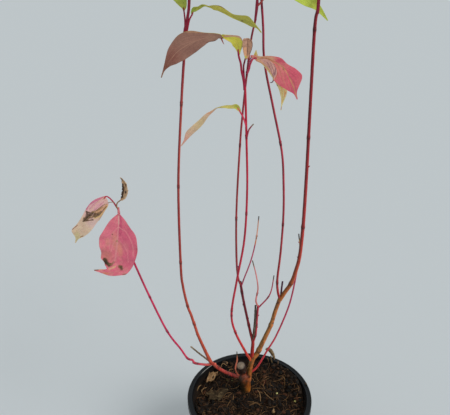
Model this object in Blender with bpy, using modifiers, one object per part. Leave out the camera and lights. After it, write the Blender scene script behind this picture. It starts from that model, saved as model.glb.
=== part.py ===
"""A red-barked dogwood in a black nursery pot, in autumn: pot, compost, trunk, stems and masses of leaves.

Sizes are in millimetres and become metres as each mesh is made. The origin is the centre of the pot's
underside, +Z is up, and the plant is seen from the -Y side.
"""

import math
import random

import bmesh
import bpy
import numpy as np
from mathutils import Vector
from mathutils.bvhtree import BVHTree

MM = 0.001
GAP = 0.3           # clearance between pieces that touch
TINY = 1e-6         # welding distance, metres
SEED = 8321

# Pot
POT_HEIGHT = 130.0
RIM_RADIUS = 85.0
SHOULDER = 79.5     # the wall's outer radius, carried up to the rim's height
BASE_RADIUS = 60.0
WALL = 1.5
SKIRT = 10.0        # the rim's turned-down edge
FLOOR_TOP = 4.5
RECESS = 2.5        # height of the drainage channels under the floor
FOOT_RING = 52.0    # inner radius of the ring it stands on
FOOT_DISC = 28.5    # radius of the disc in the middle, which it stands on too
DRAIN_CIRCLE = 41.0
DRAIN_RADIUS = 4.5
DRAINS = 8
NOTCH_WIDTH = 8.0
POT_STEPS = 48

# Compost
SOIL = 114.0
LUMP = 1.3          # height of each of the waves that make the surface uneven
LUMPS = 5
FOOT_FLAT = 20.0    # the surface is level this far round the trunk's foot
TRUNK_FOOT = (-3.3, 23.0)
HEAP = 6.0          # it is heaped this much higher against the wall behind the plant on the right
HEAP_BEARING = 65.0
HEAP_START = 28.0   # how far from the axis the heap begins

# Limbs
SECTION_STEP = 19.0
RING_HALF = 3.0     # half the length of a node ring
RING_SWELL = 1.22
STEM_SIDES = 8
TWIG_STEP = 13.0
TWIG_SIDES = 6
PETIOLE_SIDES = 4
TRUNK_SIDES = 12
TRUNK_STEP = 5.0

# Leaves
LEAF_THICK = 0.8
LEAF_ACROSS = 2     # faces across a blade
LEAF_STEP = 14.0    # length of a face along a blade that follows the rule
FINE_STEP = 8.0     # and along one that shows
FOLD = 12.0         # degrees that each half of a blade is raised
PETIOLE = (1.9, 1.4)
MIDRIB_RUN = 6.0    # the petiole runs on this far in the blade

# Where the leaves that follow the seeded rule may be: above a slanting plane, and clear of the rest
CROWN_FLOOR = 651.0
CROWN_SLOPE = -0.11
CLEARANCE = 9.5
ROOT_SHARE = 0.3    # the share of a blade next to its petiole that may be close to its stem
SPACE_ROWS = 12     # rows of points over a blade that test its space

# Each limb: its bends (x, y, z, thickness), its node rings' heights, and the limbs it is cut clear of
LIMBS = {
    "trunk": ([(-3.3, 23, 114.3, 15.4), (-3.3, 23, 119, 12.6), (-4, 23, 127, 13), (-5.4, 22.5, 134, 15.6),
               (-6.8, 22.2, 141, 16.6), (-6.4, 22, 147, 13)], [], []),
    "right_lower_stem": ([(0, 22, 136, 7.6), (1, 21, 150, 7.2), (4, 20, 174, 7), (11, 21, 186, 6.6),
                          (17.7, 23, 202, 6), (28.5, 28, 228, 5.2), (33.5, 31, 247, 4.9),
                          (39.5, 35, 268, 5)], [191, 228], ["trunk"]),
    "pruned_stump": ([(-7, 25, 145, 10), (-9.5, 21.5, 156, 10.2), (-11.7, 17.4, 166.6, 10.4)], [],
                     ["trunk", "right_lower_stem"]),
    "left_arm": ([(-3, 22, 137, 8), (-12, 21, 146, 7.2), (-29, 17, 155, 6.4), (-41, 14, 168, 6.2),
                  (-53, 10, 183, 5.8)], [], ["trunk", "pruned_stump", "right_lower_stem"]),
    "long_left_stem": ([(-52, 10.3, 181, 4.4), (-62.8, 9, 210, 3.4), (-73, 7, 247, 3), (-82, 6, 276, 2.8),
                        (-86.7, 4, 338, 2.6), (-86, 0, 445, 2.4), (-79, -4, 541, 2.3),
                        (-73, -8, 603, 2.4)], [247, 276, 342, 445, 541], ["left_arm"]),
    "low_left_stem": ([(-46, 12.3, 174, 2.8), (-52.5, 12, 174.2, 2.8), (-60, 9, 176, 2.7),
                       (-74, 6, 181.5, 2.5), (-77, 5, 187.5, 2.4), (-83.5, 4, 191.5, 2.3),
                       (-92, 1, 210.5, 2.2), (-106, -10, 248, 2.1), (-123, -21, 309, 2),
                       (-139, -34, 373, 2)], [182, 191.5, 248, 309], ["left_arm"]),
    "low_left_snag": ([(-50, 11, 178, 2), (-55.5, 12, 180.5, 2), (-68, 16, 189, 1.9),
                       (-80, 21, 197, 1.7)], [], ["left_arm", "long_left_stem", "low_left_stem"]),
    "left_stub": ([(-11, 21, 146, 2.4), (-16, 20, 150.5, 2.4), (-19, 17, 161, 2.1), (-18.5, 16, 169, 1.9),
                   (-17, 15, 178.5, 1.6), (-17.5, 14, 194, 1.1)], [], ["left_arm", "pruned_stump"]),
    "right_stem": ([(39, 34.4, 265, 5), (45, 35.5, 278, 4.6), (52, 36, 290, 4.4), (58.6, 36, 309, 4.2),
                    (61.7, 37, 331, 3.9), (63.3, 37, 373, 3.7), (63, 36, 437, 3.4), (61.2, 33, 524, 3.1),
                    (59.4, 28, 611, 2.9), (61, 26, 631, 2.9)], [290, 373, 491, 611],
                   ["right_lower_stem"]),
    "inner_stem": ([(39.5, 34.7, 265, 2.9), (36, 33, 277, 2.7), (34, 31, 299, 2.5), (36, 27, 343, 2.3),
                    (36.5, 22, 397, 2.2), (33.9, 17, 445, 2.2), (29.9, 14, 482, 2.1), (18.6, 9, 531, 2.1),
                    (8.8, 8, 571, 2), (5.3, 7.5, 592, 2), (4, 7, 614, 2), (2, 6, 634, 2)],
                   [294, 384, 491], ["right_lower_stem", "right_stem"]),
    "right_snag": ([(40, 35, 266, 2), (41, 38, 279, 2), (42, 40, 290, 1.9)], [],
                   ["right_lower_stem", "right_stem", "inner_stem"]),
    "back_right_shoot": ([(2, 21, 151, 2.9), (9, 21, 158, 2.8), (15, 22, 168, 2.5), (25, 27, 186, 2.3),
                          (37, 33, 207, 2.1), (53, 45, 247, 1.9), (61, 55, 285, 1.8), (65, 62, 325, 1.6),
                          (63, 66, 347, 1.3)], [], ["right_lower_stem"]),
    "back_centre_stem": ([(4, 20, 173, 4.4), (3.5, 20, 188, 4.2), (4, 20, 206, 3.8), (1, 21, 219, 3.2),
                          (-2, 22, 233, 2.9), (-10, 24, 274, 2.8), (-14, 25, 300, 2.8)], [233, 284],
                         ["right_lower_stem"]),
    "centre_stem": ([(3.5, 20, 171, 3.1), (-1, 17, 182, 3.1), (-5, 14, 192, 2.9), (-20, 7, 233, 2.5),
                     (-26, 1, 268, 2.3), (-19, -4, 322, 2.2), (-11, -8, 381, 2.1), (-9, -12, 447, 2),
                     (-11, -15, 509, 2), (-13, -16, 557, 2), (-14, -16, 563, 2)],
                    [233, 265, 273, 416, 509], ["right_lower_stem", "back_centre_stem"]),
    "mid_stem": ([(4, 20, 205, 3), (7, 18, 222, 3.1), (8, 16, 245, 2.7), (9, 13, 271, 2.4)], [219, 238],
                 ["back_centre_stem"]),
    "mid_snag": ([(3.5, 20, 208, 2.2), (3.5, 17, 222, 2.2), (4, 14, 246, 2.2), (4, 12, 272, 1.8)], [],
                 ["back_centre_stem", "mid_stem"]),
    "pink_twig": ([(9, 13.2, 269, 1.9), (6, 12, 280, 1.8), (8, 11, 299, 1.5), (5, 9, 321, 1.3),
                   (0, 8, 342, 1.1)], [290], ["mid_stem"]),
    "magenta_twig": ([(9, 13.3, 267, 1.7), (12, 12, 272, 1.6), (21, 10, 286, 1.5), (25, 9, 299, 1.3),
                      (27, 7, 321, 1.1)], [286], ["mid_stem", "pink_twig"]),
    "back_centre_leader": ([(-13, 25, 294, 2.3), (-18, 21, 310, 2.2), (-20, 18, 344, 2.2),
                            (-20, 14, 408, 2), (-17, 9, 491, 1.9), (-14, 5, 537, 1.8), (-11, 2, 571, 1.8),
                            (-8, 0, 606, 1.7), (-4, -1, 626, 1.7)], [396, 491, 571],
                           ["back_centre_stem"]),
    "thin_back_twig": ([(-13, 24.7, 291, 1.7), (-9, 24, 304, 1.5), (1, 28, 331, 1.4), (7, 32, 361, 1.3),
                        (8, 35, 389, 1.1)], [361], ["back_centre_stem", "back_centre_leader"]),
    "hook_twig": ([(-11, -15, 506, 1.6), (-9, -16, 516, 1.4), (-7, -17, 520, 1.2), (-4, -18, 524, 1)], [],
                  ["centre_stem"]),
}

# The leaves that show, as stations down the midrib: x, y, z, the width of its left and right halves, and
# the turn about the midrib in degrees, 0 where the upper side faces the front
LEAVES = {
    "pink": [(-146.5, -44, 433.5, .5, .5, 0), (-147, -46, 426.5, 8.5, 7.2, 0), (-148, -48, 417, 14, 15, 0),
             (-149, -50, 407, 19, 20.8, 0), (-151, -51, 396.5, 18.4, 23, 0),
             (-153, -52, 387, 14.8, 22.7, 0), (-155, -53, 378.5, 13, 19.9, 0),
             (-158, -55, 373, 7, 15.4, 0), (-162, -57, 369.5, 3.2, 6.1, 0),
             (-169.5, -59, 371, 1.9, 2.3, 0), (-175.5, -61, 373, .5, .5, 0)],
    "cream": [(-160, -40, 452, .5, .5, 0), (-162.5, -42, 448, 5.4, 6.6, 0), (-167, -44, 442.5, 8.8, 7.7, 0),
              (-172, -46, 435.5, 9.5, 8.2, 0), (-178, -47, 427, 8.8, 8.2, 0),
              (-184.5, -47, 418, 8.5, 7.7, 0), (-190, -46, 410, 9.7, 5.3, 0),
              (-194, -45, 404, 2.1, 1.9, 0), (-197, -44, 397.5, .5, .5, 0)],
    "dry_curl": [(-143, -44, 449, .5, .5, 0), (-140, -44.5, 451.5, 1.7, 1.7, 0),
                 (-137.5, -45, 455.5, 2.8, 2.8, 0), (-135.5, -46, 462, 3.2, 3.2, 0),
                 (-135.5, -46, 467.5, 2.7, 2.7, 0), (-137, -45, 471.5, 1.5, 1.5, 0),
                 (-139, -44.5, 474, .7, .7, 0), (-141, -44, 475, .5, .5, 0)],
    "long": [(-19.5, -18, 594.5, .5, .5, 0), (-20, -19, 598.5, 2.4, 2.6, 0), (-21, -20, 603, 4.9, 4.1, 0),
             (-24, -21, 607, 6.1, 4.7, 15), (-28, -22, 610, 5, 4.1, 45), (-32, -22, 611.5, 3.9, 3.9, 80),
             (-36.5, -22, 611.5, 2, 5.2, 120), (-43.5, -22, 611.5, 3.9, 4.2, 160),
             (-50, -22, 611.5, 4.5, 4.3, 175), (-57, -22, 609.5, 7, 7.9, 180),
             (-64.5, -22, 607, 9.6, 11.7, 180), (-72.5, -23, 603, 10.4, 12.4, 180),
             (-80.5, -24, 597.5, 9.3, 9.4, 180), (-86, -25, 591.5, 6.4, 5.9, 180),
             (-90, -25, 586.5, 2.9, 2.7, 180), (-93.5, -26, 581, 1.1, .6, 180),
             (-96, -26, 574, .5, .5, 180)],
    "short": [(-11, -13, 590, .5, .5, 0), (-11, -12, 593.5, 2.6, 2.4, 0), (-11, -10, 598.5, 4.8, 4.6, 0),
              (-11, -8, 603, 4.8, 4.8, 0), (-11, -5, 605, 3.4, 3.2, 0), (-11, -3, 606.5, .5, .5, 0)],
    "red": [(0, 0, 588, .5, .5, 0), (5, -1, 587, 3.1, 3, 0), (11, -3, 585.5, 6.5, 5.5, 0),
            (17, -5, 583.5, 10, 7.5, 0), (22.5, -7, 579.5, 12.5, 8.8, 0), (27, -8, 574.5, 13.4, 10.8, 0),
            (31, -9, 568.5, 11.9, 15.3, 0), (34, -10, 562, 6.6, 12, 0), (37.5, -11, 555.5, 2.9, 3, 0),
            (40.5, -12, 549, .5, .5, 0)],
    "yellow": [(-7.5, 2, 588.5, .5, .5, 0), (-1.5, 2, 587.5, 2.5, 2.1, 0), (5, 1, 584, 3.1, 3.1, 0),
               (10.5, 1, 576.5, 3.5, 3.5, 0), (16, 0, 568.5, 4.2, 4.2, 0), (21, -1, 560.5, 5, 5, 0),
               (24.5, -1, 553.5, 5.3, 4.8, 0), (25.5, -2, 546.5, 3.2, 2.7, 0), (25.5, -2, 540, .8, .8, 0),
               (25.5, -2, 534.5, .5, .5, 0)],
    "hanging": [(-17.5, -16, 536, .5, .5, 0), (-19, -16, 539, 1.7, 2.1, 0), (-22, -16, 542, 3.1, 2.7, 0),
                (-26.5, -16, 542, 1.9, 1.7, 30), (-34, -16, 541.5, 2.4, 2.4, 80),
                (-42, -16, 541, 2.9, .5, 130), (-47.5, -16, 537, 2.3, .7, 155),
                (-52, -16, 532, 2.4, 2.6, 165), (-58.5, -16, 525, 4, 3.2, 170),
                (-65, -17, 518.5, 4.1, 4, 170), (-71, -17, 512, 3.2, 4.1, 170),
                (-75.5, -18, 506, 1.6, 1.3, 170), (-79.5, -18, 500, .5, .5, 170)],
    "green": [(-65.5, -9, 631, .5, .5, 0), (-65, -9, 633.5, 1.4, 1.2, 0), (-63, -9, 635.5, 2.5, 2.3, 0),
              (-59, -9, 636.5, 2, 2, 40), (-54.5, -9, 639, 2.9, 2.9, 60), (-48.5, -9, 637.5, 3.4, 1.4, 110),
              (-44, -9, 637, 3.4, 3, 130), (-39, -9, 635.5, 3.8, 2.6, 145),
              (-32.5, -10, 632.5, 2.3, 2.4, 150), (-26, -10, 629, 1.9, 2.3, 150),
              (-18, -10, 626.5, 3.8, 2.8, 150), (-12, -10, 625, 4.3, 3.8, 150),
              (-6.5, -10, 622, 2.5, 3.2, 150), (-2, -10, 619, .5, 1.2, 150), (2, -10, 614, .5, .5, 150)],
    "top_left": [(-73, -9, 634, .5, .5, 0), (-73, -9, 638, 2.9, 2.9, 0), (-75, -10, 644, 5.8, 5.8, 0),
                 (-79, -12, 655, 11.5, 11.5, 0), (-86, -16, 666, 14.2, 14.2, 0),
                 (-97, -22, 674, 9.3, 9.3, 0), (-108, -26, 677, .5, .5, 0)],
    "far_green": [(16, 8, 655, .5, .5, 0), (27, 14, 654, 7, 7, 0), (40, 20, 649, 9.7, 9.7, 0),
                  (51, 27, 641, 6.8, 6.8, 0), (60, 33, 634, 3.5, 3.5, 0), (67, 37, 627, 2.4, 2.4, 0),
                  (76, 42, 616, .5, .5, 0)],
}

# Each mass: its bough, its twigs (x, y, z, thickness), its leaves that show, and its rule for more leaves:
# the heights of its leaf pairs and the bearing of the first pair, in degrees
MASSES = {
    "low_left_leaves": ("low_left_stem", [
        [(-137, -32, 367, 2), (-139, -34, 374, 2), (-144, -37, 400, 1.9), (-147, -40, 425, 1.9),
         (-146.5, -43, 436, 1.9), (-149, -43, 441, 1.8), (-152, -42, 446, 1.6), (-156, -41, 450, 1.5),
         (-160, -40.5, 451, 1.5), (-163, -42, 446, 1.3)],
        [(-147, -43, 437, 1.6), (-148, -44, 442, 1.5), (-147, -44, 446, 1.4), (-143, -44, 449, 1.3),
         (-140, -45, 453, 1.2)],
        [(-146, -43, 438, 1.9), (-147, -44, 434, 1.7), (-146.5, -45.4, 427, 1.4)],
    ], ["pink", "cream", "dry_curl"], [], 0),
    "centre_leaves": ("centre_stem", [
        [(-13.8, -16, 559, 2.2), (-14, -16, 564, 2.4), (-15, -16, 571, 2.6), (-17, -17, 578, 1.9),
         (-18, -18, 586, 1.8), (-20, -18, 593, 1.7), (-21, -19, 600, 1.4)],
        [(-14.6, -16, 569, 2.4), (-15, -15, 578, 1.6), (-15, -14, 583, 1.5), (-14, -13, 587, 1.4),
         (-12.6, -12.4, 593, 1.2)],
    ], ["long", "short"], [], 0),
    "middle_right_leaves": ("back_centre_leader", [
        [(-11, 2, 571, 2), (-9, 0, 577, 1.9), (-8.2, -.8, 581, 1.8), (-6, -1, 586, 1.5),
         (-3, -.5, 588, 1.4), (4, -1, 588, 1.3)],
        [(-11, 2, 571, 2), (-9, .2, 577, 1.9), (-8.4, -.2, 581, 1.8), (-7.4, 1.4, 587, 1.5),
         (-5, 2, 589, 1.4), (2, 2, 588, 1.2)],
    ], ["red", "yellow"], [], 0),
    "hanging_leaf": ("centre_stem", [
        [(-11, -15, 516, 1.5), (-12.4, -16, 524, 1.5), (-15, -16, 531, 1.5), (-18, -16, 536.4, 1.4),
         (-21, -16, 540.6, 1.2)],
    ], ["hanging"], [], 0),
    "left_crown": ("long_left_stem", [
        [(-73.4, -7.8, 599, 2.4), (-72.4, -8, 608, 3.6), (-72, -8, 616, 3.6), (-71, -8, 626, 2.5),
         (-69, -9, 644, 2.4), (-67, -9, 690, 2.3), (-69, -8, 735, 2.2), (-72, -6, 772, 1.9)],
        [(-72, -8.4, 614, 2.6), (-72.4, -9, 626, 1.9), (-73, -9, 634, 1.7), (-73, -9.6, 641, 1.4)],
        [(-71.6, -8.4, 614, 2.6), (-68.4, -9, 627, 1.9), (-65.4, -9, 631.6, 1.7), (-62.6, -9, 637, 1.4)],
    ], ["green", "top_left"], [672, 722, 768], 200),
    "right_crown": ("right_stem", [
        [(60.8, 26.4, 627, 2.9), (61, 25, 640, 2.9), (60, 22, 690, 2.8), (57, 18, 745, 2.6),
         (55, 16, 795, 2.3), (55, 15, 842, 1.9)],
    ], [], [676, 728, 776, 814, 840], 40),
    "inner_crown": ("inner_stem", [
        [(2.4, 6.2, 630, 2), (1, 6, 643, 2.1), (-.4, 7, 656, 2.4), (-3, 12, 700, 2.1),
         (-3, 17, 745, 2), (-2, 20, 782, 1.8)],
        [(-.4, 7, 655, 1.9), (3.4, 7.4, 661, 1.7), (10, 8, 660, 1.6), (18, 9, 655.4, 1.4),
         (23, 11.6, 655, 1.2)],
    ], ["far_green"], [700, 744, 780], 150),
    "middle_crown": ("back_centre_leader", [
        [(-4.6, -.9, 623, 1.8), (-3.2, -2, 638, 2.6), (-2.4, -3.2, 650, 2), (-1, -8, 690, 1.9),
         (-1, -13, 735, 1.7)],
        [(-3.2, -2, 637, 1.8), (1, -3.4, 641, 1.5), (5, -6, 647, 1.4)],
    ], [], [668, 704, 733], 20),
}

# The seeded rule for leaves, which stand in pairs, each pair across the one below it
PAIR_TURN = 90.0
BEARING_SPREAD = 22.0
PETIOLE_RUN = (9.0, 14.0)
BLADE_LENGTH = (60.0, 84.0)
TIP_SHARE = 0.62            # the top pair's share of a full blade's length
BLADE_ASPECT = (0.2, 0.26)  # half width over length
RISE = (38.0, 62.0)         # degrees above level at the root
DROOP = (55.0, 105.0)       # degrees that the blade bends down by its tip
BLADE_STATIONS = 7
TRIES = 14
SIDE_TWIG_CHANCE = 0.35
SIDE_TWIG = (34.0, 50.0)
SIDE_TWIG_THICK = (1.8, 1.5)

# Dry leaves that lie on the compost and over the rim: stations as above
LITTER = {
    "tan_dry_leaf": [(-60, 38, 118, 1, 1, 0), (-56, 42, 118, 5, 5, 5), (-50, 45, 119, 6.5, 6, 0),
                     (-44, 47, 122, 3.4, 3, 0), (-41, 49, 125, .8, .8, 0)],
    "brown_dry_leaf": [(-63, 18, 118, 1, 1, 0), (-57, 20, 119, 5, 6, 0), (-46, 19, 119, 8, 9, 8),
                       (-36, 18, 120, 6, 5, 0), (-29, 16, 119, 1.2, 1.2, 0)],
}
RIM_LEAF = [(26, 84, 133.5, 1, 1, 0), (31, 80, 136.5, 3.4, 3, 0), (36, 76.5, 135.5, 4.2, 4, 0),
            (40, 72, 130.5, 3, 3.4, 0), (40, 68, 124.5, 1.2, 1.2, 0)]

COLOURS = {
    # base colour, roughness
    "pot_plastic": ((0.018, 0.022, 0.026), 0.45),
    "compost": ((0.05, 0.03, 0.018), 0.95),
    "bark": ((0.33, 0.06, 0.035), 0.5),
    "old_bark": ((0.32, 0.15, 0.06), 0.7),
    "dead_wood": ((0.2, 0.15, 0.11), 0.9),
    "autumn_leaf": ((0.5, 0.13, 0.15), 0.6),
    "green_leaf": ((0.3, 0.36, 0.06), 0.6),
    "dry_leaf": ((0.28, 0.17, 0.09), 0.85),
}


def material(slot):
    """The material of a slot, made once."""
    if slot in bpy.data.materials:
        return bpy.data.materials[slot]
    made = bpy.data.materials.new(slot)
    made.use_nodes = True
    colour, roughness = COLOURS[slot]
    shader = made.node_tree.nodes["Principled BSDF"]
    shader.inputs["Base Color"].default_value = (*colour, 1.0)
    shader.inputs["Roughness"].default_value = roughness
    shader.inputs["Metallic"].default_value = 0.0
    return made


def add_object(name, data, collection):
    """A new object of a mesh or curve in a collection."""
    made = bpy.data.objects.new(name, data)
    collection.objects.link(made)
    return made


def evaluated_mesh(source, weld=TINY):
    """A mesh of an object's modifiers and curve sections, with its seams welded and faces outward."""
    bpy.context.view_layer.update()
    mesh = bpy.data.meshes.new_from_object(source.evaluated_get(bpy.context.evaluated_depsgraph_get()))
    work = bmesh.new()
    work.from_mesh(mesh)
    if weld:
        bmesh.ops.remove_doubles(work, verts=work.verts, dist=weld)
    bmesh.ops.recalc_face_normals(work, faces=work.faces)
    work.to_mesh(mesh)
    work.free()
    return mesh


def freeze(source, weld=TINY):
    """Replace an object's mesh by what its modifiers make of it."""
    mesh = evaluated_mesh(source, weld)
    source.modifiers.clear()
    source.data = mesh


def drop_scraps(piece):
    """Keep only the largest closed body of a piece, where a cut has left a scrap."""
    work = bmesh.new()
    work.from_mesh(piece.data)
    left = set(work.faces)
    bodies = []
    while left:
        body, edge = [], [left.pop()]
        while edge:
            face = edge.pop()
            body.append(face)
            beside = {other for side in face.edges for other in side.link_faces} & left
            left -= beside
            edge.extend(beside)
        bodies.append(body)
    bodies.sort(key=len)
    for scrap in bodies[:-1]:
        bmesh.ops.delete(work, geom=scrap, context="FACES")
    work.to_mesh(piece.data)
    work.free()


def finish(piece, slot):
    """Name a piece's mesh, shade it smooth and give it its one material."""
    piece.data.name = piece.name
    piece.data.materials.clear()
    piece.data.materials.append(material(slot))
    piece.data.shade_smooth()
    piece.data.set_sharp_from_angle(angle=math.radians(40))


def hide_cutter(cutter):
    """Keep a cutter out of the renders and draw it as lines."""
    cutter.hide_render = True
    cutter.display_type = "WIRE"


def cut(piece, cutter, solver="EXACT"):
    """Take one object's shape out of another."""
    step = piece.modifiers.new("cut_" + cutter.name, "BOOLEAN")
    step.solver = solver
    step.operation = "DIFFERENCE"
    step.object = cutter


def turned(name, profile, collection):
    """A solid turned about Z from its profile of (radius, height)."""
    mesh = bpy.data.meshes.new(name)
    points = [(radius * MM, 0.0, height * MM) for radius, height in profile]
    mesh.from_pydata(points, [(i, i + 1) for i in range(len(points) - 1)], [])
    made = add_object(name, mesh, collection)
    screw = made.modifiers.new("turn", "SCREW")
    screw.axis = "Z"
    screw.angle = math.tau
    screw.steps = POT_STEPS
    screw.render_steps = POT_STEPS
    screw.use_merge_vertices = True
    screw.merge_threshold = TINY
    freeze(made)
    return made


def wall_radius(height):
    """The outer radius of the pot's wall at a height."""
    return BASE_RADIUS + (SHOULDER - BASE_RADIUS) * height / POT_HEIGHT


def make_pot(pieces, cutters):
    """The pot: floor, wall, rolled rim and foot, with drain holes and notches cut through them."""
    rim_inner = wall_radius(POT_HEIGHT) - WALL
    under_rim = POT_HEIGHT - WALL
    profile = [
        (0, FLOOR_TOP), (wall_radius(FLOOR_TOP) - WALL, FLOOR_TOP),
        (rim_inner, POT_HEIGHT), (RIM_RADIUS - 1, POT_HEIGHT), (RIM_RADIUS, POT_HEIGHT - 1),
        (RIM_RADIUS, POT_HEIGHT - SKIRT), (RIM_RADIUS - WALL, POT_HEIGHT - SKIRT),
        (RIM_RADIUS - WALL, under_rim), (wall_radius(under_rim), under_rim),
        (wall_radius(1), 1), (BASE_RADIUS - 1, 0), (FOOT_RING, 0), (FOOT_RING - RECESS, RECESS),
        (FOOT_DISC + RECESS, RECESS), (FOOT_DISC, 0), (0, 0),
    ]
    pot = turned("pot", profile, pieces)
    tool = bmesh.new()
    for i in range(DRAINS):
        turn = math.tau * (i + 0.5) / DRAINS
        out = Vector((math.cos(turn), math.sin(turn), 0))
        drill = bmesh.ops.create_cone(tool, cap_ends=True, segments=16, radius1=DRAIN_RADIUS * MM,
                                      radius2=DRAIN_RADIUS * MM, depth=2 * FLOOR_TOP * MM)["verts"]
        bmesh.ops.translate(tool, verts=drill, vec=out * DRAIN_CIRCLE * MM + Vector((0, 0, RECESS * MM)))
        slot = bmesh.ops.create_cube(tool, size=1.0)["verts"]
        size = Vector(((BASE_RADIUS - FOOT_RING) * 3, NOTCH_WIDTH, 2 * RECESS - 1)) * MM
        bmesh.ops.scale(tool, verts=slot, vec=size)
        bmesh.ops.translate(tool, verts=slot, vec=Vector((BASE_RADIUS * MM, 0, 0)))
        for vertex in slot:
            vertex.co.rotate(out.to_track_quat("X", "Z"))
    mesh = bpy.data.meshes.new("drainage")
    tool.to_mesh(mesh)
    tool.free()
    drainage = add_object("drainage", mesh, cutters)
    hide_cutter(drainage)
    cut(pot, drainage)
    freeze(pot)
    finish(pot, "pot_plastic")
    return pot


def soil_waves():
    """The seeded waves of the compost's surface: direction, wavelength and phase of each."""
    draw = random.Random(SEED)
    return [(draw.uniform(0, math.tau), draw.uniform(26, 60), draw.uniform(0, math.tau))
            for _ in range(LUMPS)]


def soil_relief(x, y, waves):
    """How far the compost stands above or below its level at a place."""
    height = sum(math.sin((x * math.cos(a) + y * math.sin(a)) * math.tau / long + phase)
                 for a, long, phase in waves)
    back = math.radians(HEAP_BEARING)
    into_heap = (x * math.cos(back) + y * math.sin(back) - HEAP_START) / (SHOULDER - HEAP_START)
    from_foot = math.hypot(x - TRUNK_FOOT[0], y - TRUNK_FOOT[1])
    fade = min(max((from_foot - FOOT_FLAT) / FOOT_FLAT, 0.0), 1.0)
    return (LUMP * height + HEAP * max(into_heap, 0.0)) * fade


def make_compost(pieces):
    """The compost: turned to fit the pot, with an uneven top."""
    def inside(height):
        return wall_radius(height) - WALL - GAP * 1.1
    edge = inside(SOIL)
    top = [(edge * share, SOIL) for share in (0, 0.16, 0.32, 0.48, 0.64, 0.8, 0.93)]
    bottom = FLOOR_TOP + GAP
    profile = top + [(edge, SOIL - 1.5), (inside(bottom), bottom), (0, bottom)]
    compost = turned("compost", profile, pieces)
    waves = soil_waves()
    for vertex in compost.data.vertices:
        if vertex.co.z > (SOIL - 1) * MM:
            vertex.co.z += soil_relief(vertex.co.x / MM, vertex.co.y / MM, waves) * MM
    finish(compost, "compost")
    return compost


def smooth_path(rows, per_span=24):
    """Rows that begin x, y, z, read off a smooth curve through them, finely."""
    knots = np.asarray(rows, float)
    knots = np.vstack([2 * knots[0] - knots[1], knots, 2 * knots[-1] - knots[-2]])
    t = (np.arange(per_span) / per_span)[:, None]
    spans = [0.5 * (2 * b + (c - a) * t + (2 * a - 5 * b + 4 * c - d) * t ** 2
                    + (3 * b - a - 3 * c + d) * t ** 3)
             for a, b, c, d in zip(knots, knots[1:], knots[2:], knots[3:])]
    return np.vstack(spans + [knots[-2][None, :]])


def run_length(path):
    """The distance along a path at each of its points."""
    steps = np.linalg.norm(np.diff(path[:, :3], axis=0), axis=1)
    return np.concatenate([[0.0], np.cumsum(steps)])


def read_at(path, places):
    """The rows of a path at given distances along it."""
    along = run_length(path)
    return np.stack([np.interp(places, along, column) for column in path.T], axis=1)


def stem_sections(bends, rings=(), step=SECTION_STEP):
    """A stem's sections, with three close together where a node ring stands out."""
    path = smooth_path(bends)
    along = run_length(path)
    places = list(np.linspace(0, along[-1], max(2, round(along[-1] / step)) + 1))
    swellings = [float(np.interp(height, path[:, 2], along)) for height in rings]
    for at in swellings:
        places = [place for place in places if abs(place - at) > 1.5 * RING_HALF]
        places += [at - RING_HALF, at, at + RING_HALF]
    places.sort()
    rows = read_at(path, places)
    for row, place in zip(rows, places):
        if place in swellings:
            row[3] *= RING_SWELL
    return rows


def stem(name, rows, collection, grow=0.0, sides=STEM_SIDES):
    """A round stem with welded caps along rows of x, y, z, thickness, larger all round by grow."""
    rows = np.array(rows, float)
    for end, beside in ((0, 1), (-1, -2)):
        outward = rows[end, :3] - rows[beside, :3]
        rows[end, :3] += outward / np.linalg.norm(outward) * grow
    curve = bpy.data.curves.new(name, "CURVE")
    curve.dimensions = "3D"
    curve.bevel_depth = MM
    curve.bevel_resolution = (sides - 4) // 2
    curve.use_fill_caps = True
    spline = curve.splines.new("POLY")
    spline.points.add(len(rows) - 1)
    for point, (x, y, z, thick) in zip(spline.points, rows):
        point.co = (x * MM, y * MM, z * MM, 1.0)
        point.radius = thick / 2 + grow
    guide = add_object(name + "_curve", curve, collection)
    made = add_object(name, evaluated_mesh(guide), collection)
    made.matrix_world = guide.matrix_world
    bpy.data.objects.remove(guide)
    return made


def make_limb(name, pieces, cutters):
    """A limb, cut clear of those it grows from, and the larger copy that cuts its own branches clear."""
    bends, rings, parents = LIMBS[name]
    sides = TRUNK_SIDES if name == "trunk" else STEM_SIDES
    rows = stem_sections(bends, rings, TRUNK_STEP if name == "trunk" else SECTION_STEP)
    limb = stem(name, rows, pieces, sides=sides)
    clearance = stem(name + "_clearance", rows, cutters, grow=GAP, sides=sides)
    hide_cutter(clearance)
    for parent in parents:
        cut(limb, bpy.data.objects[parent + "_clearance"])
        freeze(limb)
        drop_scraps(limb)
    slots = {"trunk": "old_bark", "right_lower_stem": "old_bark", "pruned_stump": "dead_wood"}
    slot = "dead_wood" if "snag" in name else slots.get(name, "bark")
    finish(limb, slot)
    return rows


def blade_frames(stations, front):
    """Midrib, direction across and upper side at each station of a blade whose face looks to the front."""
    run = np.gradient(stations[:, :3], axis=0)
    run /= np.linalg.norm(run, axis=1)[:, None]
    face = np.asarray(front, float) - (run @ np.asarray(front, float))[:, None] * run
    face /= np.linalg.norm(face, axis=1)[:, None]
    side = np.cross(face, run)
    turn = np.radians(stations[:, 5])[:, None]
    across = np.cos(turn) * side + np.sin(turn) * face
    upper = np.cos(turn) * face - np.sin(turn) * side
    return stations[:, :3], across, upper


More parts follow.
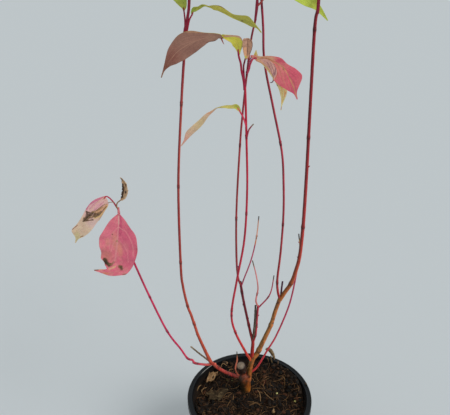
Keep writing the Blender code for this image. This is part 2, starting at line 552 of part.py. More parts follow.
def blade_points(rows, front, count, columns, fold=FOLD):
    """A grid of points on a blade: (count + 1) rows of (columns + 1)."""
    path = smooth_path(rows)
    stations = read_at(path, np.linspace(0, run_length(path)[-1], count + 1))
    midrib, across, upper = blade_frames(stations, front)
    share = np.linspace(-1, 1, columns + 1)[None, :]
    half = np.where(share < 0, stations[:, 3:4], stations[:, 4:5])
    half = np.maximum(half, 0.5)
    lift = math.sin(math.radians(fold)) * np.abs(share) * half
    spread = math.cos(math.radians(fold)) * share * half
    return midrib[:, None] + across[:, None] * spread[..., None] + upper[:, None] * lift[..., None]


def make_blade(name, rows, front, collection, step=LEAF_STEP, fold=FOLD):
    """A leaf blade: a grid laid over its stations and thickened."""
    length = run_length(smooth_path(rows))[-1]
    count = max(4, round(length / step))
    points = blade_points(rows, front, count, LEAF_ACROSS, fold)
    work = bmesh.new()
    grid = bmesh.ops.create_grid(work, x_segments=LEAF_ACROSS, y_segments=count, size=1.0)["verts"]
    for vertex in grid:
        column = round((vertex.co.x + 1) / 2 * LEAF_ACROSS)
        row = round((vertex.co.y + 1) / 2 * count)
        vertex.co = Vector(points[row, column] * MM)
    mesh = bpy.data.meshes.new(name)
    work.to_mesh(mesh)
    work.free()
    blade = add_object(name, mesh, collection)
    shell = blade.modifiers.new("thickness", "SOLIDIFY")
    shell.thickness = LEAF_THICK * MM
    shell.offset = 0.0
    freeze(blade)
    return blade


def unit(bearing, rise):
    """A direction from its bearing about Z and its angle above level, in degrees."""
    bearing, rise = math.radians(bearing), math.radians(rise)
    return np.array([math.cos(bearing) * math.cos(rise), math.sin(bearing) * math.cos(rise),
                     math.sin(rise)])


def half_width(share):
    """A dogwood blade's half width along its length, 1 at the widest: oval, drawn out to a fine tip."""
    return 2.13 * share ** 0.72 * (1 - share) ** 1.25


def grown_leaf(root, bearing, size, draw):
    """A leaf by the rule: its petiole's rows and its blade's stations."""
    rise = draw.uniform(*RISE)
    droop = draw.uniform(*DROOP)
    length = draw.uniform(*BLADE_LENGTH) * size
    half = length * draw.uniform(*BLADE_ASPECT)
    twist = draw.uniform(-25, 25)
    run = draw.uniform(*PETIOLE_RUN) * (0.5 + 0.5 * size)
    base = root + unit(bearing, rise + 12) * run
    at = base
    stations = []
    for i in range(BLADE_STATIONS):
        share = i / (BLADE_STATIONS - 1)
        wide = max(half * half_width(share), 0.5)
        stations.append((*at, wide, wide, twist * share))
        at = at + unit(bearing, rise - droop * share) * length / (BLADE_STATIONS - 1)
    inside = base + unit(bearing, rise) * MIDRIB_RUN
    thick, thin = PETIOLE
    petiole = [(*root, thick), (*base, thin), (*inside, thin)]
    return petiole, stations


def crowded(points, taken):
    """Whether any point lies too near the points that are taken."""
    if not len(taken):
        return False
    gaps = np.linalg.norm(points[:, None] - taken[None], axis=2)
    return bool(gaps.min() < CLEARANCE)


def leaf_space(stations, front, first=0):
    """Points over a blade, from one of its cross rows on, for the test of its space."""
    return blade_points(stations, front, SPACE_ROWS, 6)[first:].reshape(-1, 3)


def stem_space(rows):
    """Points down a stem, for the test of its space."""
    path = smooth_path(rows)
    count = max(2, round(run_length(path)[-1] / 4))
    return read_at(path, np.linspace(0, run_length(path)[-1], count))[:, :3]


def grow_leaves(twig, heights, bearing, draw, near, foreign):
    """Pairs of leaves up a twig, and short side twigs with a pair each, kept to free space.

    near holds the points of the mass and its bough, foreign those of everything else.
    """
    up = np.array([0.0, 0.0, 1.0])
    path = smooth_path(twig)
    petioles, blades, used = [], [], []

    def try_leaf(root, towards, size):
        for _ in range(TRIES):
            aim = towards + draw.uniform(-BEARING_SPREAD, BEARING_SPREAD)
            petiole, stations = grown_leaf(root, aim, size, draw)
            outer = leaf_space(stations, up, round(ROOT_SHARE * SPACE_ROWS))
            whole = np.vstack([leaf_space(stations, up), stem_space(petiole)])
            low = outer[:, 2] < CROWN_FLOOR + CROWN_SLOPE * outer[:, 1]
            if not low.any() and not crowded(outer, near[0]) and not crowded(whole, foreign):
                petioles.append(petiole)
                blades.append(stations)
                used.append(whole)
                return

    for order, height in enumerate(heights):
        root = np.array([np.interp(height, path[:, 2], path[:, axis]) for axis in range(3)])
        share = order / max(len(heights) - 1, 1)
        size = 1 - (1 - TIP_SHARE) * share
        for side in (0, 180):
            towards = bearing + PAIR_TURN * order + side
            if draw.random() < SIDE_TWIG_CHANCE and 0 < order < len(heights) - 1:
                reach = draw.uniform(*SIDE_TWIG)
                tip = root + unit(towards, 55) * reach
                middle = (root + tip) / 2 + unit(towards, -20) * 2
                spur = [(*root, SIDE_TWIG_THICK[0]), (*middle, SIDE_TWIG_THICK[0]),
                        (*tip, SIDE_TWIG_THICK[1])]
                if not crowded(stem_space(spur)[3:], near[0]) and not crowded(stem_space(spur), foreign):
                    petioles.append(spur)
                    for turn in (90, -90):
                        try_leaf(tip - unit(towards, 55) * 2, towards + turn, TIP_SHARE)
                    used.append(stem_space(spur))
            try_leaf(root, towards, size)
        near[0] = np.vstack([near[0], *used])
        used.clear()
    return petioles, blades


def make_mass(name, pieces, space):
    """A mass: its twigs and leaves joined into one solid and cut clear of its bough."""
    bough, twigs, shown, heights, bearing = MASSES[name]
    near = [np.vstack([space[name], space[bough]])]
    foreign = np.vstack([points for owner, points in space.items() if owner not in (name, bough)])
    draw = random.Random(name + str(SEED))
    loose = bpy.data.collections.new(name + "_loose")
    bpy.context.scene.collection.children.link(loose)
    front = (0.0, -1.0, 0.0)
    parts = [stem(f"{name}_twig_{i}", stem_sections(rows, step=TWIG_STEP), loose, sides=TWIG_SIDES)
             for i, rows in enumerate(twigs)]
    parts += [make_blade(f"{name}_{leaf}", LEAVES[leaf], front, loose, step=FINE_STEP)
              for leaf in shown]
    petioles, blades = grow_leaves(twigs[0], heights, bearing, draw, near, foreign)
    space[name] = near[0]
    parts += [stem(f"{name}_petiole_{i}", rows, loose, sides=PETIOLE_SIDES)
              for i, rows in enumerate(petioles)]
    parts += [make_blade(f"{name}_leaf_{i}", rows, (0.0, 0.0, 1.0), loose)
              for i, rows in enumerate(blades)]
    whole = parts[0]
    loose.objects.unlink(whole)
    pieces.objects.link(whole)
    whole.name = name
    join = whole.modifiers.new("join", "BOOLEAN")
    join.operation = "UNION"
    join.solver = "MANIFOLD"
    join.operand_type = "COLLECTION"
    join.collection = loose
    freeze(whole, weld=0)
    for part in parts[1:]:
        bpy.data.objects.remove(part)
    bpy.data.collections.remove(loose)
    cut(whole, bpy.data.objects[bough + "_clearance"], "MANIFOLD")
    freeze(whole, weld=0)
    drop_scraps(whole)
    finish(whole, "autumn_leaf" if shown and "far_green" not in shown else "green_leaf")


def space_at_start():
    """Points of each limb, and of each mass's twigs and the leaves that show."""
    space = {name: stem_space(bends) for name, (bends, _, _) in LIMBS.items()}
    for name, (_, twigs, shown, _, _) in MASSES.items():
        points = [stem_space(rows) for rows in twigs]
        points += [leaf_space(LEAVES[leaf], (0.0, -1.0, 0.0)) for leaf in shown]
        space[name] = np.vstack(points)
    return space


def settle(piece, ground):
    """Move a piece up or down until it lies a gap above the ground piece."""
    floor = BVHTree.FromPolygons([v.co for v in ground.data.vertices],
                                 [p.vertices[:] for p in ground.data.polygons])
    body = BVHTree.FromPolygons([v.co for v in piece.data.vertices],
                                [p.vertices[:] for p in piece.data.polygons])
    up = Vector((0, 0, 1))
    rooms = []
    for vertex in piece.data.vertices:
        hit = floor.ray_cast(vertex.co + up, -up)[0]
        if hit:
            rooms.append(vertex.co.z - hit.z)
    for vertex in ground.data.vertices:
        hit = body.ray_cast(vertex.co - up, up)[0]
        if hit:
            rooms.append(hit.z - vertex.co.z)
    for vertex in piece.data.vertices:
        vertex.co.z -= min(rooms) - GAP * MM


def make_litter(pieces, pot, compost):
    """The dry leaves: two on the compost and a curled one over the pot's rim."""
    front = (0.0, -0.5, 1.0)
    for name, rows in LITTER.items():
        leaf = make_blade(name, rows, front, pieces, fold=24)
        settle(leaf, compost)
        finish(leaf, "dry_leaf")
    leaf = make_blade("rim_dry_leaf", RIM_LEAF, (0.0, 0.4, 1.0), pieces, fold=-20)
    settle(leaf, pot)
    finish(leaf, "dry_leaf")


def clear_scene():
    """Start from an empty scene."""
    for old in list(bpy.data.objects):
        bpy.data.objects.remove(old)


def main():
    clear_scene()
    pieces = bpy.data.collections.new("potted_dogwood")
    cutters = bpy.data.collections.new("cutters")
    for collection in (pieces, cutters):
        bpy.context.scene.collection.children.link(collection)
    pot = make_pot(pieces, cutters)
    compost = make_compost(pieces)
    for name in LIMBS:
        make_limb(name, pieces, cutters)
    space = space_at_start()
    for name in MASSES:
        make_mass(name, pieces, space)
    make_litter(pieces, pot, compost)


main()
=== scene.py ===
"""The looks of a potted red-stemmed dogwood in autumn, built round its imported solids.

Tables are in millimetres and become metres as each mesh is made. The origin is the centre of the pot's
underside, +Z is up, and the plant is seen from the -Y side. Colours are written as they show in the
studio's light, red, green and blue from 0 to 255.
"""

import math
import random

import bmesh
import bpy
import numpy as np
from bpy.props import FloatProperty, FloatVectorProperty, IntProperty, PointerProperty
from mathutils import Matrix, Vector, noise


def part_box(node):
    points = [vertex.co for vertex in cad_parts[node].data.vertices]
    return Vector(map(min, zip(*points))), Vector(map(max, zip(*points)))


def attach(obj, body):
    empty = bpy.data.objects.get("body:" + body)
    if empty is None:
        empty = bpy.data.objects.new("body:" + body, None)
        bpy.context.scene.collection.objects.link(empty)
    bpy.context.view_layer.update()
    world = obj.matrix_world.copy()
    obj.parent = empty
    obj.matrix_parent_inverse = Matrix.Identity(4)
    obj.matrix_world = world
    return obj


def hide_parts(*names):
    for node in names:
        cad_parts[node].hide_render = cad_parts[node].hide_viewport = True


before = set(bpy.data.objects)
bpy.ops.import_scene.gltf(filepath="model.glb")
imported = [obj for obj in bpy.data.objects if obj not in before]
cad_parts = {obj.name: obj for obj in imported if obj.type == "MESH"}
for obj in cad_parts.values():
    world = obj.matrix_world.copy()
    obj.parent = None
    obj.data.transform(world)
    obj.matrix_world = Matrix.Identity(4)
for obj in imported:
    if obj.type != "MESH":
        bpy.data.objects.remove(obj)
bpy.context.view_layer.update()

bl_info = {
    "name": "Potted dogwood",
    "version": (1, 0, 0),
    "blender": (4, 5, 0),
    "location": "3D View > Sidebar > Dogwood",
    "description": "Builds a potted red-stemmed dogwood piece by piece",
    "category": "Add Mesh",
}

MM = 0.001
SEED = 8321
UP = np.array([0.0, 0.0, 1.0])
FRONT = (0.0, -1.0, 0.0)
LIGHT = 0.66        # how bright a white surface of the plant shows in the studio
CAMERA = np.array([-33.0, -574.0, 706.0])

# Pot
POT_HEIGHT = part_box("pot")[1][2] / MM
RIM_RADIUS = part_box("pot")[1][0] / MM
SHOULDER = 79.5     # the wall's outer radius, carried up to the rim's height
BASE_RADIUS = 60.0
WALL = 1.5
SKIRT = 10.0        # the rim's turned-down edge
FLOOR_TOP = 4.5
RECESS = 2.5        # height of the drainage channels under the floor
FOOT_RING = 52.0
FOOT_DISC = 28.5
DRAIN_CIRCLE = 41.0
DRAIN_RADIUS = 4.5
DRAINS = 8
NOTCH_WIDTH = 8.0
RIDGES = (34.0, 101.0)      # heights of the fine raised lines round the wall

# Compost
SOIL = 114.0
LUMP = 1.3
LUMPS = 5
FOOT_FLAT = 20.0
TRUNK_FOOT = (-3.3, 23.0)
HEAP = 6.0
HEAP_BEARING = 65.0
HEAP_START = 28.0

# Loose compost banked up at the wall: bearing and spread in degrees, start, run and height; and in hills:
# x, y, radius and height
BANKS = [(38, 42, 48, 26, 11.0)]
HILLS = [(-40, 65, 14, 9.0), (-3.3, 23, 11, 4.6)]
SOIL_LUMPS = ((2.4, 12.0), (2.0, 5.0), (0.8, 2.2))      # height and size of its finer lumps

# Stems
WIDER = 1.2         # the bark is this much wider than the stems' cores
RING_SWELL = 0.2
RING_HALF = 2.4

# Blades: how far the side veins sweep forward, and how far the blade rises between them
VEIN_SWEEP = 0.92
PANEL = 0.45
PETIOLE = (1.9, 1.4)
MIDRIB_RUN = 6.0
FOLD = 12.0

# Where the leaves that follow the seeded rule may be: above a slanting plane, and clear of the rest
CROWN_FLOOR = 651.0
CROWN_SLOPE = -0.11
CLEARANCE = 9.5
ROOT_SHARE = 0.3
SPACE_ROWS = 12

# Limbs: bends (x, y, z, thickness) and the heights of the node rings
LIMBS = {
    "trunk": ([(-4.2, 23, 114.3, 16), (-4.2, 23, 119, 14.4), (-5, 23, 127, 15.4), (-6.2, 22.5, 134, 17.2),
               (-7, 22.2, 141, 17.4), (-6.4, 22, 147, 13.4)], []),
    "right_lower_stem": ([(0, 22, 136, 7), (.7, 21, 150, 6.6), (3.6, 20, 174, 7), (10.6, 21, 186, 6.8),
                          (17.2, 23, 202, 6.3), (28, 28, 228, 5.6), (33, 31, 247, 5.5),
                          (39.5, 35, 268, 5.4)], [191, 228]),
    "pruned_stump": ([(-7, 25, 145, 10), (-9.5, 21.5, 156, 11.4), (-11.7, 17.4, 166.6, 12.2)], []),
    "left_arm": ([(-3, 22, 134, 7), (-12, 21.4, 141.6, 5.9), (-20, 20.5, 145.6, 5.2), (-27, 19, 150.2, 4.9),
                  (-34, 17, 156, 4.7), (-40.8, 15, 162.9, 4.6), (-47.3, 12.5, 171.6, 4.5),
                  (-53.6, 10.2, 180.6, 4.5)], []),
    "long_left_stem": ([(-53.4, 10.3, 180.6, 4.4), (-57.4, 9.8, 192, 3.8), (-63.5, 9, 210, 3.4),
                        (-69.1, 8, 228, 3.2), (-73.5, 7, 247, 3), (-77.2, 6.5, 262, 2.9),
                        (-81.1, 6, 276, 2.8), (-85.9, 5, 307, 2.7), (-87.4, 4, 338, 2.6),
                        (-86, 0, 445, 2.4), (-79, -4, 541, 2.3),
                        (-73, -8, 603, 2.4)], [247, 276, 342, 445, 541]),
    "low_left_stem": ([(-46, 12.3, 174, 2.8), (-52.5, 12, 174.2, 2.8), (-60, 9, 176, 2.7),
                       (-74, 6, 181.5, 2.5), (-77, 5, 187.5, 2.4), (-83.5, 4, 191.5, 2.3),
                       (-92, 1, 210.5, 2.2), (-106.6, -10, 248, 2.2), (-123.8, -21, 309, 2.1),
                       (-139, -34, 373, 2)], [182, 191.5, 248, 309]),
    "low_left_snag": ([(-50, 11, 178, 2), (-55.5, 12, 180.5, 2), (-68, 16, 189, 1.9),
                       (-80, 21, 197, 1.7)], []),
    "left_stub": ([(-11, 21, 144, 2.2), (-16, 20, 149, 2), (-19, 17, 161, 1.8), (-18.5, 16, 169, 1.6),
                   (-17, 15, 178.5, 1.4), (-17.5, 14, 194, 1.1)], []),
    "right_stem": ([(39, 34.4, 265, 5), (45.6, 35.5, 276.6, 4.6), (53, 36, 290.4, 4.4), (57.8, 36, 309, 4.2),
                    (61.7, 37, 331, 3.9), (63.3, 37, 373, 3.7), (63, 36, 437, 3.4), (61.2, 33, 524, 3.1),
                    (59.4, 28, 611, 2.9), (61, 26, 631, 2.9)], [290, 373, 491, 611]),
    "inner_stem": ([(39.5, 34.7, 265, 2.9), (36, 33, 277, 2.7), (34, 31, 299, 2.5), (36, 27, 343, 2.3),
                    (36.5, 22, 397, 2.2), (33.9, 17, 445, 2.2), (29.9, 14, 482, 2.1), (18.6, 9, 531, 2.1),
                    (9.1, 8, 571, 2), (5.9, 7.5, 592, 2), (4.8, 7, 614, 2), (3, 6, 634, 2)], [294, 384, 491]),
    "right_snag": ([(40, 35, 266, 2), (41, 38, 279, 2), (42, 40, 290, 1.9)], []),
    "back_right_shoot": ([(2, 21, 151, 2.4), (9, 21, 158, 2.3), (15, 22, 168, 2.2), (25, 27, 186, 2.1),
                          (37, 33, 207, 2), (53, 45, 247, 1.9), (61, 55, 285, 1.8), (65, 62, 325, 1.6),
                          (63, 66, 347, 1.3)], []),
    "back_centre_stem": ([(4, 20, 173, 4.4), (3.5, 20, 188, 4.2), (4, 20, 206, 3.8), (1, 21, 219, 3.2),
                          (-2, 22, 233, 2.9), (-10, 24, 274, 2.8), (-14, 25, 300, 2.8)], [233, 284]),
    "centre_stem": ([(3.5, 20, 171, 3.1), (-1, 17, 182, 3.1), (-5, 14, 192, 2.9), (-20, 7, 233, 2.5),
                     (-25.2, 1, 268, 2.3), (-19, -4, 322, 2.2), (-11, -8, 381, 2.1), (-9, -12, 447, 2),
                     (-11, -15, 509, 2), (-13, -16, 557, 2),
                     (-14, -16, 563, 2)], [233, 265, 273, 416, 509]),
    "mid_stem": ([(4, 20, 205, 3), (7, 18, 222, 3.1), (8, 16, 245, 2.7), (9, 13, 271, 2.4)], [219, 238]),
    "mid_snag": ([(4, 20, 208, 2.4), (4.6, 17, 222, 2.5), (5.6, 14, 246, 2.4), (5.7, 12, 272, 2)], []),
    "pink_twig": ([(9, 13.2, 269, 1.9), (6, 12, 280, 1.8), (8, 11, 299, 1.5), (5, 9, 321, 1.3),
                   (0, 8, 342, 1.1)], [290]),
    "magenta_twig": ([(9, 13.3, 267, 1.7), (12, 12, 272, 1.6), (21, 10, 286, 1.5), (25, 9, 299, 1.3),
                      (27, 7, 321, 1.1)], [286]),
    "back_centre_leader": ([(-13, 25, 294, 2.3), (-17.1, 21, 310, 2.2), (-19.4, 18, 344, 2.2),
                            (-20, 14, 408, 2), (-17, 9, 491, 1.9), (-14, 5, 537, 1.8), (-11, 2, 571, 1.8),
                            (-7.4, 0, 606, 1.7), (-3.3, -1, 626, 1.7)], [396, 491, 571]),
    "thin_back_twig": ([(-13, 24.7, 291, 1.7), (-9.6, 24, 304, 1.5), (-.5, 28, 331, 1.4), (5.6, 32, 361, 1.3),
                        (8, 35, 389, 1.1)], [361]),
    "hook_twig": ([(-11, -15, 506, 1.6), (-9, -16, 516, 1.4), (-7, -17, 520, 1.2), (-4, -18, 524, 1)], []),
}

# The leaves that show, as stations down the midrib: x, y, z, the width of its left and right halves, and
# the turn about the midrib in degrees, 0 where the upper side faces the front
LEAVES = {
    "pink": [(-146.5, -44, 433.5, .5, .5, 0), (-147, -46, 426.5, 8.2, 7.2, 0), (-148, -48, 417, 13.7, 15, 0),
             (-149, -50, 407, 18.8, 20.8, 0), (-151, -51, 396.5, 18.6, 23, 0),
             (-153, -52, 387, 15.2, 22.7, 0), (-155, -53, 378.5, 14.2, 20.6, 0),
             (-158, -55, 373, 8.6, 16.6, 0), (-162, -57, 369.5, 3.2, 6.1, 0),
             (-169.5, -59, 371, 1.9, 2.3, 0), (-175.5, -61, 373, .5, .5, 0)],
    "cream": [(-160, -40, 452, .5, .5, 0), (-162.5, -42, 448, 5.4, 6.6, 0), (-167, -44, 442.5, 8.8, 7.7, 0),
              (-172, -46, 435.5, 9.5, 8.2, 0), (-178, -47, 427, 8.8, 8.2, 0),
              (-184.5, -47, 418, 8.5, 7.7, 0), (-190, -46, 410, 9.7, 5.3, 0),
              (-194, -45, 404, 2.1, 1.9, 0), (-197, -44, 397.5, .5, .5, 0)],
    "dry_curl": [(-143, -44, 449, .5, .5, 0), (-141, -44.5, 451.5, 2.1, 2.1, 0),
                 (-138.8, -45, 455.5, 3.4, 3.4, 0), (-137, -46, 462, 4, 3.5, 0),
                 (-137, -46, 467.5, 3.2, 3.1, 0), (-138.3, -45, 471.5, 1.9, 1.9, 0),
                 (-139.9, -44.5, 474, .7, .7, 0), (-141.5, -44, 475, .5, .5, 0)],
    "long": [(-19.6, -18, 594.5, .5, .5, 0), (-20, -19, 599, 2.2, 2.4, 0), (-20.8, -20, 603.5, 4.5, 4.1, 0),
             (-23, -21, 607.3, 6.4, 4.7, 5), (-27, -22, 609.9, 4, 3.3, 15), (-31.5, -22, 610.8, 3.2, 3.2, 35),
             (-34.8, -22, 610.6, 3.8, 4.2, 62), (-38, -22, 610.6, 4.4, 4.8, 112),
             (-43.5, -22, 611.2, 4.2, 4.6, 158), (-50, -22, 611.4, 4.8, 4.5, 175),
             (-57, -22, 609.5, 7, 7.7, 180), (-64.5, -22, 607, 9.6, 11.2, 180),
             (-72.5, -23, 603, 10.6, 12, 180), (-80.5, -24, 597.5, 9.8, 9, 180),
             (-86, -25, 591.5, 7, 5.6, 180), (-90, -25, 586.5, 3.4, 2.7, 180),
             (-93.5, -26, 581, 1.3, .7, 180), (-96, -26, 574, .5, .5, 180)],
    "short": [(-12.6, -13, 588.8, .5, .5, 0), (-12.3, -13, 590.6, 1.8, 1.8, 0),
              (-12, -12.6, 593.3, 3, 3, 0), (-11.9, -12, 597.5, 4.6, 4.2, 0),
              (-11.7, -11, 601.8, 5.6, 5.3, 0), (-11.5, -9, 605.1, 5, 5.2, 0),
              (-11.3, -7, 606.9, 3, 3.6, 0), (-11.3, -6, 608, .8, .8, 0)],
    "red": [(-7.8, 0, 589.9, .5, .5, 0), (-3.2, 0, 588.6, 2.4, 1.9, 0), (2.2, -1, 587.6, 3.6, 1.9, 0),
            (8.2, -2, 587, 6, 3.3, 0), (14.1, -4, 585.5, 8.8, 4.9, 0), (19.9, -6, 582.8, 11.2, 6.7, 0),
            (25.3, -7, 579, 14, 5.8, 0), (29.2, -8, 573.7, 14.4, 9.7, 0), (32.5, -9, 567, 11.9, 12.9, 0),
            (35.4, -10, 560.1, 6.4, 7.4, 0), (38, -11, 554.4, 1.7, 2, 0), (40.5, -12, 548.3, .5, .5, 0)],
    "yellow_bit": [(-2.4, 3, 589.4, 1.9, 1.9, 0), (-2.3, 3, 591.2, 1.6, 1.6, 0),
                   (-2.2, 3, 593, .9, .9, 0), (-2.1, 3, 594.8, .3, .3, 0)],
    "yellow": [(-7.4, 3, 587.9, .5, .5, 0), (-1.3, 3, 586.9, 1.5, 1.5, 0), (5.1, 2, 583.1, 2.2, 2.4, 0),
               (11.8, 2, 577, 3, 3, 0), (17.7, 1, 569, 2.9, 3.4, 0), (22, 0, 562.6, 3.2, 4.4, -8),
               (25.4, -2, 556.1, 3.5, 5.4, -20), (26.6, -4, 550.6, 3.6, 3.6, -24),
               (26.1, -5, 544.9, 1.6, 1.7, -24), (25.2, -6, 539.8, .6, .6, -24),
               (24.9, -6, 535.2, .5, .5, -24)],
    "hanging": [(-17.5, -16, 536, .5, .5, 0), (-19, -16, 539, 1.7, 2.1, 0), (-22, -16, 542, 3.1, 2.7, 0),
                (-26.5, -16, 541.4, 2.1, 1.9, 30), (-34, -16, 540.6, 2.8, 2.8, 80),
                (-42, -16, 540.1, 3.3, .8, 130), (-47.5, -16, 536.4, 2.6, 1, 155),
                (-52, -16, 532, 2.4, 2.6, 165), (-58.5, -16, 525, 4, 3.2, 170),
                (-65, -17, 518.5, 4.1, 4, 170), (-71, -17, 512, 3.2, 4.1, 170),
                (-75.5, -18, 506, 1.6, 1.3, 170), (-79.5, -18, 500, .5, .5, 170)],
    "green": [(-65.5, -9, 631, .5, .5, 0), (-65, -9, 633.5, 1.4, 1.2, 0), (-63, -9, 635.5, 2.5, 2.3, 0),
              (-59, -9, 637.3, 2.2, 2, 40), (-54.5, -9, 639.9, 2.9, 2.9, 60),
              (-48.5, -9, 638.3, 3.4, 1.4, 110),
              (-44, -9, 637.9, 3.4, 3, 130), (-39, -9, 636.4, 3.8, 2.6, 145),
              (-32.5, -10, 633.4, 2.3, 2.4, 150), (-26, -10, 629.9, 1.9, 2.3, 150),
              (-18, -10, 627.2, 4.1, 2.8, 150), (-12, -10, 625.7, 4.9, 3.8, 150),
              (-6.5, -10, 622.4, 2.5, 3.2, 150), (-2, -10, 619, .5, 1.2, 150), (2, -10, 614, .5, .5, 150)],
    "top_left": [(-73, -9, 634, .5, .5, 0), (-73, -9, 638, 2.9, 2.9, 0), (-75, -10, 644, 5.8, 5.8, 0),
                 (-79, -12, 655, 11.5, 11.5, 0), (-86, -16, 666, 14.2, 14.2, 0),
                 (-97, -22, 674, 9.3, 9.3, 0), (-108, -26, 677, .5, .5, 0)],
    "far_green": [(16, 8, 655, .5, .5, 0), (27, 14, 654, 6, 7, 0), (40, 20, 649, 9.3, 9.7, 0),
                  (51, 27, 641, 7.6, 6.8, 0), (60, 33, 634, 4.2, 3.5, 0), (66.5, 37, 627.4, 2.5, 2.2, 0),
                  (74.6, 42, 618, .5, .5, 0)],
}

# Each mass: its bough, its twigs (x, y, z, thickness), its leaves that show, and its rule for more leaves:
# the heights of its leaf pairs and the bearing of the first pair, in degrees
MASSES = {
    "low_left_leaves": ("low_left_stem", [
        [(-137, -32, 367, 2), (-139, -34, 374, 2), (-144, -37, 400, 1.9), (-147, -40, 425, 1.9),
         (-146.5, -43, 436, 1.8), (-148.6, -43, 441, 1.5), (-151.6, -42, 446, 1.3), (-155.4, -41, 450.2, 1.2),
         (-159, -40.5, 452, 1.1), (-161, -42, 450, .9)],
        [(-147, -43, 437, 1.4), (-148, -44, 442, 1.2), (-147, -44, 446, 1.1), (-143.5, -44, 449, 1),
         (-141, -45, 453, 1)],
        [(-146.4, -42.6, 440, 1.3), (-146.6, -44, 435.6, 2), (-146.8, -45, 432, 1.2)],
    ], ["pink", "cream", "dry_curl"], [], 0),
    "centre_leaves": ("centre_stem", [
        [(-13.8, -16, 559, 2.2), (-14, -16, 564, 2.4), (-15, -16, 571, 2.6), (-17, -17, 578, 1.9),
         (-18, -18, 586, 1.8), (-20, -18, 593, 1.7), (-21, -19, 600, 1.4)],
        [(-14.6, -16, 569, 2.4), (-15, -15, 578, 1.6), (-15, -14, 583, 1.5), (-14, -13, 587, 1.4),
         (-12.6, -12.4, 593, 1.2)],
    ], ["long", "short"], [], 0),
    "middle_right_leaves": ("back_centre_leader", [
        [(-11, 2, 571, 2), (-9, 0, 577, 1.9), (-8.2, -.8, 581, 1.8), (-6, -1, 586, 1.5),
         (-4, -.5, 587.6, 1.3), (-1.5, -1, 587.6, 1)],
        [(-11, 2, 571, 2), (-9, .2, 577, 1.9), (-8.4, -.2, 581, 1.8), (-7.4, 1.4, 587, 1.5),
         (-5, 2, 588.4, 1.2), (-1, 2, 587, 1)],
    ], ["red", "yellow"], [], 0),
    "hanging_leaf": ("centre_stem", [
        [(-11, -15, 516, 1.5), (-12.4, -16, 524, 1.5), (-15, -16, 531, 1.5), (-18, -16, 536.4, 1.4),
         (-21, -16, 540.6, 1.2)],
    ], ["hanging"], [], 0),
    "left_crown": ("long_left_stem", [
        [(-73.4, -7.8, 599, 2.4), (-72.4, -8, 608, 3.6), (-72, -8, 616, 3.6), (-70, -8, 626, 2.5),
         (-67.6, -9, 644, 2.4), (-67, -9, 690, 2.3), (-69, -8, 735, 2.2), (-72, -6, 772, 1.9)],
        [(-72, -8.4, 614, 2.2), (-72.2, -9, 626, 1.4), (-72.8, -9, 633, 1.2), (-73, -9.6, 637, 1)],
        [(-71.2, -8.4, 614, 2.2), (-68, -9, 625.6, 1.4), (-65.2, -9, 630.6, 1.3), (-64, -9, 633.6, 1)],
    ], ["green", "top_left"], [672, 722, 768], 200),
    "right_crown": ("right_stem", [
        [(60.8, 26.4, 627, 2.9), (61, 25, 640, 2.9), (60, 22, 690, 2.8), (57, 18, 745, 2.6),
         (55, 16, 795, 2.3), (55, 15, 842, 1.9)],
    ], [], [676, 728, 776, 814, 840], 40),
    "inner_crown": ("inner_stem", [
        [(3.3, 6.2, 630, 2), (2, 6, 643, 2.1), (.4, 7, 656, 2.4), (-3, 12, 700, 2.1),
         (-3, 17, 745, 2), (-2, 20, 782, 1.8)],
        [(-.4, 7, 655, 1.9), (3.4, 7.4, 661, 1.7), (10, 8, 660, 1.6), (18, 9, 655.4, 1.4),
         (23, 11.6, 655, 1.2)],
    ], ["far_green"], [700, 744, 780], 150),
    "middle_crown": ("back_centre_leader", [
        [(-4, -.9, 623, 1.8), (-2.6, -2, 638, 2.6), (-2.4, -3.2, 650, 2), (-1, -8, 690, 1.9),
         (-1, -13, 735, 1.7)],
        [(-3.2, -2, 637, 1.8), (1, -3.4, 641, 1.5), (5, -6, 647, 1.4)],
    ], [], [668, 704, 733], 20),
}

# The seeded rule for leaves, which stand in pairs, each pair across the one below it
PAIR_TURN = 90.0
BEARING_SPREAD = 22.0
PETIOLE_RUN = (9.0, 14.0)
BLADE_LENGTH = (60.0, 84.0)
TIP_SHARE = 0.62            # the top pair's share of a full blade's length
BLADE_ASPECT = (0.2, 0.26)  # half width over length
RISE = (38.0, 62.0)         # degrees above level at the root
DROOP = (55.0, 105.0)       # degrees that the blade bends down by its tip
BLADE_STATIONS = 7
TRIES = 14
SIDE_TWIG_CHANCE = 0.35
SIDE_TWIG = (34.0, 50.0)
SIDE_TWIG_THICK = (1.8, 1.5)


